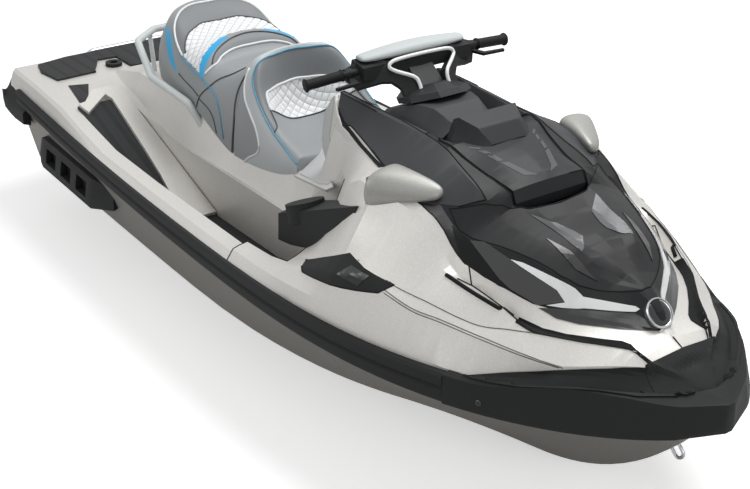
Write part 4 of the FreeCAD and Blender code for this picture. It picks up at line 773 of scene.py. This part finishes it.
class WATERCRAFT_OT_seats(bpy.types.Operator):
    """Make the seats with their panels, quilting, seams and piping"""
    bl_idname = "watercraft.seats"
    bl_label = "Seats"

    def execute(self, context):
        settings = context.scene.watercraft_seats
        # The property has single precision, so it is rounded back to what it says
        square = round(settings.quilt_square, 6)
        grey = vinyl("Mid grey marine vinyl", linear("#8C9092"))
        dark = vinyl("Dark grey marine vinyl", linear("#727678"))
        pale = vinyl("Pale grey marine vinyl", linear("#B4B9BA"))
        blue = vinyl("Blue marine vinyl", (*settings.blue, 1.0), 0.4)
        white = quilted_vinyl("White quilted vinyl, driver", DRIVER_ROW, square)
        rear_white = quilted_vinyl("White quilted vinyl, passenger", PASSENGER_ROW, square)
        driver = seat_surface("driver_seat_cover", DRIVER_CAGE)
        passengers = seat_surface("passenger_seat_cover", PASSENGER_CAGE)
        # Corners past the skin's edges and centre line close some of the outlines
        quilt = DRIVER_QUILT_TOP + DRIVER_QUILT_LOW[:0:-1]
        band = DRIVER_TAIL + DRIVER_QUILT_TOP[1:] + DRIVER_PIPING[:1:-1]
        shell = DRIVER_PIPING + SHELL_REST + DRIVER_SHELL[::-1] + [(0, -0.1)]
        upholster(driver, grey, [(white, quilt), (dark, band), (pale, shell)])
        quilt_line = [(6.33, 1.7)] + QUILT_TOP
        rear_quilt = CRESCENT_OUT + [(5.3, 5.2)] + quilt_line[::-1]
        upholster(passengers, grey, [
            (blue, CRESCENT_IN + CRESCENT_OUT[::-1]), (rear_white, rear_quilt),
            (dark, ARCH_PIPING + ARCH_TOP[::-1]), (dark, quilt_line + REAR_PIPING[:0:-1]),
            (blue, SIDE_STRIP)])
        swell_quilt(driver, quilt, DRIVER_ROW, square)
        swell_quilt(passengers, rear_quilt, PASSENGER_ROW, square)
        front, back = skin_map(driver), skin_map(passengers)
        # Each cord's skin, line and radius in metres
        for name, material, lines in (
                ("seat_blue_piping", vinyl("Blue vinyl piping", linear("#3E87A6"), 0.4), (
                    (front, DRIVER_PIPING, 0.0034), (back, SIDE_PIPING, 0.0034),
                    (back, MIDDLE_BLUE, 0.0026))),
                ("seat_white_piping", vinyl("White vinyl piping", linear("#DDE0E0"), 0.4), (
                    (front, DRIVER_QUILT_TOP, 0.0045), (front, DRIVER_SHELL, 0.004),
                    (back, ARCH_PIPING, 0.0045), (back, REAR_PIPING, 0.0045))),
                ("seat_seams", vinyl("Dark polyester thread", linear("#3C3F41"), 0.6), (
                    (front, DRIVER_QUILT_LOW, 0.0026), (front, DRIVER_TAIL, 0.0028),
                    (back, MIDDLE_SEAM, 0.0035), (back, MIDDLE_GREY, 0.0022), (back, REAR_SEAM, 0.0028),
                    (back, ARCH_TOP, 0.003), (back, SIDE_SEAM, 0.0026), (back, QUILT_TOP, 0.003)))):
            fixed(make_piece(name, joined(*[seam(*line) for line in lines]), material))
        for piece in (driver, passengers):
            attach(piece, "craft")
        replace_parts(driver, "driver_seat")
        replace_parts(passengers, "middle_seat", "rear_seat")
        return {"FINISHED"}


# Trim of the bow and deck, as outlines on the starboard side; each has its mirror image to port

HEADLIGHT_STRIP = metres([
    (1118, -247, 761), (1150, -230, 759), (1216, -203, 745), (1275, -172, 726), (1289, -163, 719),
    (1311, -152, 700), (1350, -106, 690), (1404, -47, 679), (1415, -42, 674), (1411, -53, 667),
    (1372, -101, 668), (1324, -159, 673), (1313, -173, 671), (1286, -202, 671), (1253, -231, 673),
    (1285, -193, 684), (1257, -199, 711), (1199, -223, 734), (1148, -239, 751)])
HEADLIGHT_LENS = metres([
    (994, -289, 781), (1031, -267, 785), (1118, -247, 761), (1189, -227, 736), (1257, -199, 711),
    (1284, -193, 685), (1237, -247, 671), (1159, -281, 699), (1124, -288, 715)])
INTAKE_GRILLE = metres([
    (926, -298, 803), (990, -289, 782), (1124, -288, 715), (1158, -282, 699), (1088, -310, 711),
    (1011, -328, 733)])
FASCIA = metres([
    (1242, -248, 666), (1287, -202, 669), (1327, -158, 669), (1373, -102, 665), (1411, -56, 664),
    (1447, -31, 644), (1468, -17, 634), (1465, -29, 626), (1411, -104, 632), (1338, -187, 640),
    (1289, -226, 648)])
HOOD_DOME = metres([
    (1051, -125, 837), (1131, -109, 817), (1201, -105, 801), (1237, -97, 788), (1224, -76, 789),
    (1183, -45, 800), (1153, -49, 804), (1098, -67, 814)])
HOOD_SHADE = metres([
    (1143, -144, 807), (1218, -119, 789), (1266, -113, 762), (1285, -111, 749), (1310, -103, 732),
    (1260, -137, 756)])
LID_STROKES = metres([
    [(773, -126, 947), (796, -99, 947), (804, -101, 945), (781, -125, 945)],
    [(799, -114, 942), (814, -97, 943), (837, -87, 940), (824, -105, 938)],
    [(834, -104, 936), (847, -86, 937), (879, -77, 929), (868, -95, 928)],
    [(877, -92, 926), (890, -69, 927), (946, -43, 910), (967, -22, 902), (952, -63, 906)]])
BUMPER_WING = metres([
    (1189, -460, 506), (1284, -372, 528), (1390, -287, 557), (1478, -209, 577), (1547, -109, 579),
    (1560, -89, 573), (1565, 0, 580), (1631, 0, 535), (1640, -20, 531), (1634, -110, 537),
    (1578, -197, 540), (1503, -265, 544), (1425, -331, 535), (1337, -389, 516), (1263, -429, 507),
    (1212, -455, 506)])
GROOVE_TAIL = metres([
    (1000, -376, 704), (1080, -363, 689), (1150, -343, 672), (1210, -309, 645)])
NOSE_GROOVE = metres([
    (1214, -291, 638), (1281, -265, 626), (1335, -228, 621), (1396, -171, 617), (1439, -125, 614),
    (1461, -113, 610), (1519, -123, 604), (1545, -108, 581), (1537, -118, 587), (1489, -145, 618),
    (1421, -194, 618), (1355, -246, 620), (1305, -286, 624), (1284, -302, 625), (1232, -320, 640)])
CONSOLE_GUTTER = metres([
    (203, -193, 942), (234, -208, 905), (282, -221, 890), (444, -268, 883), (631, -322, 886),
    (618, -329, 881), (434, -271, 873), (279, -229, 878), (238, -218, 896), (209, -203, 933)])
SIDE_CREASES = metres([
    [(760, -503, 688), (900, -484, 662), (1014, -447, 645), (1050, -434, 638), (1107, -410, 626),
     (1166, -381, 618), (1226, -343, 624), (1279, -305, 625)],
    [(860, -510, 645), (983, -484, 618), (1073, -451, 611), (1185, -403, 595), (1290, -353, 579),
     (1381, -293, 562)],
    [(860, -508, 652), (980, -482, 625), (1068, -447, 616), (1180, -399, 600), (1298, -346, 583),
     (1389, -286, 563)]])
BUMPER_TIP = metres([
    (1530, -130, 580), (1530, 130, 580), (1600, 140, 540), (1640, 90, 530), (1660, 0, 530),
    (1640, -90, 530), (1600, -140, 540)])
VENT_SLOT = metres([
    (718, -548, 639), (752, -519, 673), (828, -510, 667), (802, -534, 632)])
STERN_MAT = metres([
    (-1369, -424, 568), (-1343, -350, 567), (-1192, -422, 561), (-1137, -475, 563)])
RIB_EDGE = metres([
    (-1200, -289), (-1200, -405), (-1145, -458), (-1140, -488), (-1085, -474), (-1162, -366), (-1131, -352),
    (-840, -371), (-700, -383), (-580, -400), (-460, -425), (-460, -289)])

# Plane of the footwell ribs: its height at x = 0, and its fall per metre towards the bow
RIB_HEIGHT = 0.143
RIB_FALL = 0.369

# Direction that the small stern mats face, and the places of the round pieces
TOWARDS_SIDE = (0.731, -0.521, 0.44)
BUMPER_BOLT = Vector((1.253, -0.456, 0.448))
DISC_PLACE = Vector((1.446, 0.0, 0.662))
DISC_FACING = Vector((0.75, 0.0, 0.66))

# Profiles of the round pieces, as radius and height
DISC_RING = metres([(36, -10), (43, -10), (44, 4), (42.5, 7), (39.5, 7), (38, 4), (36, 3)])
DISC_CAP = metres([(37.5, -10), (37.5, 2), (34, 4.5), (24, 6), (10, 6.8), (2, 7)])
BOLT_HEAD = metres([(8.5, -3), (8.5, 1.5), (6, 2.8), (4, 2.8), (3.5, 0.5)])


class WATERCRAFT_OT_bow_trim(bpy.types.Operator):
    """Make the headlights, the black fascia, the hood's panels and the trim and seals along the deck"""
    bl_idname = "watercraft.bow_trim"
    bl_label = "Bow and deck trim"

    def execute(self, context):
        white = painted("White gloss lacquer on ABS", "#E6E8E8", 0.2, 0.7)
        lens = painted("Smoked polycarbonate", "#1B1C1E", 0.08, 1.0)
        black = painted("Black gloss lacquer on ABS", "#161718", 0.18, 0.8)
        dome = painted("Grey satin lacquer on ABS", "#4B4D4F", 0.35)
        stroke = painted("Light grey stripe paint", "#4E5153", 0.5, 0.0)
        # Besides the seals, this black paints the shade in the nose grooves and their tails
        seal = moulded_plastic("Black rubber seal", "#0F1011", 0.8)
        # Grey for the tubes along the side creases: painted shade that stands for the shadow in their grooves
        crease_shade = moulded_plastic("Grey moulded ABS", "#6A6966", 0.7)
        plastic, mat, silver, steel = [bpy.data.materials[name] for name in (BLACK, FOAM, SILVER, STEEL)]
        bodywork = surface_of("front_body", "nose_panel", "bow_deck", "hood")
        nose = surface_of("nose_panel", "bow_deck", "bow_bumper")
        consoles = surface_of("bow_deck", "side_consoles")
        lid = surface_of("storage_lid")
        deck = surface_of("deck")
        rib = [(x, y, RIB_HEIGHT - RIB_FALL * x) for x, y in RIB_EDGE]
        # Tubes along the side creases; their grey is painted shade in the grooves
        creases = [tube_mesh(laid_on(flowing(line, 0.01), nose), 0.0016, 6) for line in SIDE_CREASES]
        # A black tube along the tail of each nose groove: painted shade in the gutter
        tail = tube_mesh(laid_on(flowing(GROOVE_TAIL, 0.01), nose), 0.006, 8)
        # Each panel's lift over the surface and its depth, in metres
        shapes = {
            "nose_groove_tails": (seal, both(tail)),
            "headlight_strips": (white, both(patch(HEADLIGHT_STRIP, bodywork, 0.0035, 0.007))),
            "headlight_lenses": (lens, both(patch(HEADLIGHT_LENS, bodywork, 0.002, 0.006))),
            "intake_grilles": (seal, both(patch(INTAKE_GRILLE, bodywork, 0.0015, 0.006))),
            "bow_fascia": (black, both(patch(FASCIA, bodywork, 0.002, 0.006))),
            "hood_panels": (dome, both(patch(HOOD_DOME, bodywork, 0.002, 0.005))),
            "hood_shades": (black, both(patch(HOOD_SHADE, bodywork, 0.002, 0.005))),
            "bumper_wings": (plastic, pair(BUMPER_WING, nose, 0.004, 0.009)),
            # Black patches in the nose grooves: painted shade in the gutters
            "nose_grooves": (seal, pair(NOSE_GROOVE, nose, 0.003, 0.006, step=0.006, hug=0.03)),
            "console_gutters": (seal, pair(CONSOLE_GUTTER, consoles, 0.003, 0.006)),
            "side_vent_slots": (black, pair(VENT_SLOT, surface_of("side_vents"), 0.0025, 0.005)),
            "stern_side_mats": (mat, pair(STERN_MAT, deck, 0.005, 0.009, TOWARDS_SIDE, reach=0.8)),
            "footwell_ribs": (silver, both(plate(rib, 0.02, 0.007))),
            "side_creases": (crease_shade, both(joined(*creases))),
            "bumper_tip": (plastic, patch(BUMPER_TIP, nose, 0.006, 0.012, facing=(0.5, 0.0, 1.0))),
            "nose_disc_ring": (steel, turned(DISC_RING, DISC_PLACE, DISC_FACING, 48)),
            "nose_disc": (black, turned(DISC_CAP, DISC_PLACE, DISC_FACING, 48)),
            "bumper_bolts": (black, both(turned(
                BOLT_HEAD, *surface_of("bow_bumper").find_nearest(BUMPER_BOLT)[:2], 24))),
        }
        for name, (material, shape) in shapes.items():
            fixed(make_piece(name, shape, material, smooth=name in ("nose_groove_tails", "nose_disc")))
        strokes = joined(*[patch(outline, lid, 0.0008, 0.003) for outline in LID_STROKES])
        fixed(make_piece("lid_stripes", both(strokes), stroke, smooth=False), "storage_lid_body")
        radius = context.scene.watercraft_hull.seal_radius
        for node in ("nose_panel", "hood", "side_consoles", "storage_lid", "bow_deck", "front_body"):
            body = "storage_lid_body" if node == "storage_lid" else "craft"
            fixed(seal_of(node, seal, radius), body)
        return {"FINISHED"}


# Pieces beside and on the steering, as outlines and rows of points

KNEE_ARM = metres([
    (195, -199, 951), (198, -208, 894), (189, -216, 817), (200, -222, 796), (275, -247, 747),
    (375, -281, 681), (501, -305, 730), (543, -309, 774), (508, -300, 775), (468, -288, 793),
    (589, -308, 865), (439, -270, 874), (281, -230, 879), (237, -217, 900)])
KNEE_TRIM = metres([
    (195, -197, 949), (198, -206, 894), (189, -214, 817), (200, -220, 796), (275, -245, 747),
    (365, -277, 678), (298, -263, 669), (237, -246, 686), (150, -216, 752), (131, -207, 779),
    (127, -199, 835), (134, -195, 871), (170, -197, 924)])
SEAT_STEP = metres([
    (-73, -72, 653), (-23, -226, 605), (324, -327, 703), (345, -311, 720), (271, -268, 708)])
SEAT_STEP_PAD = metres([
    (-48, -88, 658), (21, -227, 625), (249, -297, 688), (304, -304, 707), (311, -293, 716),
    (281, -275, 711)])
POD_ROWS = metres([
    [(690, 300, 864), (690, 370, 824), (690, 428, 800), (690, 438, 850), (690, 428, 902), (690, 370, 917),
     (690, 300, 920)],
    [(705, 298, 862), (705, 370, 822), (705, 432, 800), (705, 442, 850), (705, 430, 904), (705, 370, 921),
     (705, 298, 922)],
    [(760, 290, 858), (762, 350, 835), (765, 392, 830), (765, 402, 862), (762, 388, 893), (760, 345, 914),
     (760, 290, 918)],
    [(820, 276, 856), (822, 318, 846), (825, 348, 846), (825, 356, 866), (822, 344, 886), (820, 312, 902),
     (820, 276, 906)],
    [(866, 272, 860), (868, 290, 856), (868, 303, 858), (869, 306, 868), (868, 300, 880), (867, 286, 888),
     (866, 272, 888)]])
PAD_ROWS = metres([
    (-199, 302, 348, 1099, 1112), (-186, 297, 356, 1092, 1116), (-100, 293, 366, 1092, 1124),
    (0, 291, 371, 1093, 1129), (100, 293, 366, 1092, 1124), (186, 297, 356, 1092, 1116),
    (199, 302, 348, 1099, 1112)])
YOKE_ARM = metres([
    (313, -259, 1072), (327, -187, 1100), (360, -125, 1096), (375, -126, 1082), (388, -118, 1066),
    (426, -66, 1050), (454, -60, 1007), (447, -103, 985), (422, -107, 1019), (403, -125, 1035),
    (389, -151, 1036), (362, -221, 1021), (332, -248, 1049)])
YOKE_RIM = metres([
    (462, -56, 1000), (446, -54, 1030), (432, -64, 1050), (398, -108, 1067), (384, -124, 1080),
    (381, -108, 1094), (380, -50, 1098), (380, 50, 1098), (381, 108, 1094), (384, 124, 1080),
    (398, 108, 1067), (432, 64, 1050), (446, 54, 1030), (462, 56, 1000)])

# Ends of the port grip
GRIP_END = Vector((0.318, 0.385, 1.054))
GRIP_START = Vector((0.3284, 0.2615, 1.0642))

# Points of a mirror pod behind this place are its flat rear face, whose rim keeps the crease
POD_REAR = 0.6905
POD_CREASE = 0.9

# Grips: number of rings, radius, height of a rib, and the flares of both ends with their parts of the length
GRIP_RINGS = 64
GRIP_RADIUS = 0.0158
GRIP_RIB = 0.0008
OUTER_FLARE = 0.0055
INNER_FLARE = 0.003
OUTER_PART = 0.1
INNER_PART = 0.06


def ringed(rows):
    """Points and faces of a closed skin through rows of points."""
    return [Vector(p) for row in rows for p in row], rows_of_faces(len(rows), len(rows[0]))


def rounded(piece, crease=0.0):
    """Turn a cage into its smooth surface; the rim of a mirror pod's rear face keeps the crease."""
    if crease:
        layer = piece.data.attributes.new("crease_edge", "FLOAT", "EDGE")
        for edge in piece.data.edges:
            ends = [piece.data.vertices[i].co.x for i in edge.vertices]
            if abs(ends[0] - ends[1]) < TINY and ends[0] < POD_REAR:
                layer.data[edge.index].value = crease
    smooth = piece.modifiers.new("Smooth", "SUBSURF")
    smooth.levels = smooth.render_levels = 3
    settle(piece)
    for face in piece.data.polygons:
        face.use_smooth = True
    return piece


def plate(outline, depth, lift=0.0):
    """Flat panel with a closed outline, its outer face towards starboard."""
    corners = [Vector(p) for p in outline]
    out = sum((a.cross(b) for a, b in zip(corners, corners[1:] + corners[:1])), Vector()).normalized()
    if out.y > 0:
        out = -out
    verts = [c + out * lift for c in corners] + [c + out * (lift - depth) for c in corners]
    return verts, rows_of_faces(2, len(corners))


def bevelled_plates(name, shape, material, width):
    """A plate and its mirror image as one piece with bevelled edges."""
    piece = make_piece(name, both(shape), material, smooth=False)
    bevelled(piece, width)
    return settle(piece)


def grip():
    """Port grip with a rib on every third ring and flared ends, as points and faces."""
    line, radii = [], []
    for i in range(GRIP_RINGS + 1):
        share = i / GRIP_RINGS
        line.append(GRIP_START.lerp(GRIP_END, share))
        outer = OUTER_FLARE * max(0.0, (share - (1 - OUTER_PART)) / OUTER_PART) ** 2
        inner = INNER_FLARE * max(0.0, (INNER_PART - share) / INNER_PART)
        radii.append(GRIP_RADIUS + GRIP_RIB * (i % 3 == 0) + (outer + inner))
    return tube_mesh(line, radii, 24)


class WATERCRAFT_OT_cockpit(bpy.types.Operator):
    """Make the knee panels, the mirror pods and the handlebar's yoke, pad and grips"""
    bl_idname = "watercraft.cockpit"
    bl_label = "Cockpit"

    def execute(self, context):
        silver, black = bpy.data.materials[SILVER], bpy.data.materials[BLACK]
        trim = vinyl("Pale grey vinyl, knee pads", linear("#B5B8B8"))
        pod_paint = gelcoat("Silver mirror paint", linear("#A5A5A1"), linear("#878682"), 0.8)
        pad = vinyl("Pale grey vinyl, bar pad", linear("#B2B8B8"), 0.55)
        rubber = moulded_plastic("Black grip rubber", "#131415", 0.65, 0.6)
        white = painted("White gloss paint", "#E4E5E4", 0.25)
        # Each plate's depth and lift, in metres
        for name, material, shape in (
                ("knee_panels", silver, plate(KNEE_ARM, 0.014)),
                ("knee_pads", trim, plate(KNEE_TRIM, 0.02, 0.003)),
                ("seat_steps", silver, plate(SEAT_STEP, 0.012)),
                ("seat_step_pads", trim, plate(SEAT_STEP_PAD, 0.006, 0.0015))):
            fixed(bevelled_plates(name, shape, material, 0.004))
        pods = make_piece("mirror_pod_skins", both(ringed(POD_ROWS)), pod_paint)
        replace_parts(fixed(rounded(pods, POD_CREASE)), "mirror_pods")
        # Section of the pad at each row: its front edge, underside, rear edge and crown
        rows = [[(x0, y, (low + high) / 2), (x0 + 0.008, y, low), (x1 - 0.006, y, low),
                 (x1, y, (low + high) / 2), (x1 - 0.012, y, high - 0.002), ((x0 + x1) / 2, y, high),
                 (x0 + 0.012, y, high - 0.001)] for y, x0, x1, low, high in PAD_ROWS]
        cover = rounded(make_piece("bar_pad_cover", ringed(rows), pad))
        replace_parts(fixed(cover, "steering"), "bar_pad")
        fixed(bevelled_plates("yoke_arms", plate(YOKE_ARM, 0.03), black, 0.003), "steering")
        rim = make_piece("yoke_rim", tube_mesh(flowing(YOKE_RIM, 0.006), 0.006, 10), white)
        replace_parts(fixed(rim, "steering"), "bar_struts")
        grips = make_piece("grip_covers", both(grip()), rubber)
        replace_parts(fixed(grips, "steering"), "grips")
        return {"FINISHED"}


# Stage

# Each lamp's place, what it points at, its diameter in metres and its power in watts
LAMPS = {
    "Key": ((0.4, 1.4, 4.6), (0.2, 0.0, 0.4), 3.2, 185),
    "Fill": ((5.5, -1.5, 2.6), (0.0, 0.0, 0.4), 3.0, 45),
    "Side": ((-1.5, -5.0, 3.0), (0.0, 0.0, 0.4), 3.0, 60),
}

# Strength of the surroundings as light; where they are seen it is 1
AMBIENT = 0.3

# Camera solved from the photo: place, direction it looks from in degrees, focal length and shifts
CAMERA_PLACE = (3.777, -2.590, 2.533)
CAMERA_AZIMUTH = 54.517
CAMERA_ELEVATION = 26.106
CAMERA_LENS = 69.565
CAMERA_SHIFT = (-0.00204, 0.00036)


def area_light(name, place, aim, size, power):
    """Round soft lamp that points at a place."""
    lamp = bpy.data.lights.new(name, "AREA")
    lamp.shape = "DISK"
    lamp.size = size
    lamp.energy = power
    holder = placed(name, lamp)
    holder.location = place
    holder.rotation_euler = (Vector(aim) - Vector(place)).to_track_quat("-Z", "Y").to_euler()


def studio_world():
    """White surroundings where they are seen or mirrored, which light the craft less than they show."""
    world = bpy.data.worlds.new("Studio")
    world.use_nodes = True
    tree = world.node_tree
    tree.nodes.clear()
    seen = add(tree, "ShaderNodeLightPath")
    direct = add(tree, "ShaderNodeMath", {"operation": "MAXIMUM"},
                 {0: seen.outputs["Is Camera Ray"], 1: seen.outputs["Is Transmission Ray"]})
    shiny = add(tree, "ShaderNodeMath", {"operation": "MAXIMUM"},
                {0: direct.outputs[0], 1: seen.outputs["Is Glossy Ray"]})
    ambient = add(tree, "ShaderNodeBackground", {"Color": WHITE, "Strength": AMBIENT})
    shown = add(tree, "ShaderNodeBackground", {"Color": WHITE, "Strength": 1.0})
    mixed = add(tree, "ShaderNodeMixShader", links={0: shiny.outputs[0], 1: ambient.outputs[0],
                                                    2: shown.outputs[0]})
    add(tree, "ShaderNodeOutputWorld", links={0: mixed.outputs[0]})
    bpy.context.scene.world = world


def white_sweep():
    """Dull white paper floor, with a little glow for the camera only, so that it shows white."""
    material, tree, shader, place = start_material(
        "White paper sweep", Base_Color=FLOOR_COLOUR, Roughness=1.0, Specular_IOR_Level=0.0,
        Emission_Color=WHITE)
    seen = add(tree, "ShaderNodeLightPath")
    glow = add(tree, "ShaderNodeMath", {"operation": "MULTIPLY", 1: 0.5}, {0: seen.outputs["Is Camera Ray"]})
    tree.links.new(glow.outputs[0], shader.inputs["Emission Strength"])
    return material


class WATERCRAFT_OT_stage(bpy.types.Operator):
    """Make the floor, the light and the camera"""
    bl_idname = "watercraft.stage"
    bl_label = "Stage"

    def execute(self, context):
        half = context.scene.watercraft_stage.floor_size / 2
        mesh = bpy.data.meshes.new("Floor")
        mesh.from_pydata([(-half, -half, 0), (half, -half, 0), (half, half, 0), (-half, half, 0)], [],
                         [(0, 1, 2, 3)])
        mesh.materials.append(white_sweep())
        placed("Floor", mesh)
        studio_world()
        for name, lamp in LAMPS.items():
            area_light(name, *lamp)
        camera = bpy.data.cameras.new("Camera")
        camera.lens = CAMERA_LENS
        camera.sensor_width = 36.0
        camera.shift_x, camera.shift_y = CAMERA_SHIFT
        holder = placed("Camera", camera)
        azimuth, elevation = math.radians(CAMERA_AZIMUTH), math.radians(CAMERA_ELEVATION)
        back = Vector((math.sin(azimuth) * math.cos(elevation), -math.cos(azimuth) * math.cos(elevation),
                       math.sin(elevation)))
        holder.location = CAMERA_PLACE
        holder.rotation_mode = "QUATERNION"
        holder.rotation_quaternion = (-back).to_track_quat("-Z", "Y")
        context.scene.camera = holder
        context.scene.view_settings.view_transform = "Standard"
        return {"FINISHED"}


OPERATORS = (WATERCRAFT_OT_rigid_finishes, WATERCRAFT_OT_seats, WATERCRAFT_OT_bow_trim,
             WATERCRAFT_OT_cockpit, WATERCRAFT_OT_stage)
SETTINGS = {
    "watercraft_hull": HullSettings, "watercraft_seats": SeatSettings, "watercraft_stage": StageSettings}


class WATERCRAFT_PT_build(bpy.types.Panel):
    bl_idname = "WATERCRAFT_PT_build"
    bl_label = "Personal Watercraft"
    bl_space_type = "VIEW_3D"
    bl_region_type = "UI"
    bl_category = "Watercraft"

    def draw(self, context):
        for operator in OPERATORS:
            self.layout.operator(operator.bl_idname)
        for group, kind in SETTINGS.items():
            for name in kind.__annotations__:
                self.layout.prop(getattr(context.scene, group), name)


CLASSES = tuple(SETTINGS.values()) + OPERATORS + (WATERCRAFT_PT_build,)


def register():
    for item in CLASSES:
        bpy.utils.register_class(item)
    for name, kind in SETTINGS.items():
        setattr(bpy.types.Scene, name, PointerProperty(type=kind))


def unregister():
    for name in SETTINGS:
        delattr(bpy.types.Scene, name)
    for item in reversed(CLASSES):
        bpy.utils.unregister_class(item)


def main():
    """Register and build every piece."""
    register()
    for operator in OPERATORS:
        group, name = operator.bl_idname.split(".")
        getattr(getattr(bpy.ops, group), name)()


if __name__ == "__main__":
    main()
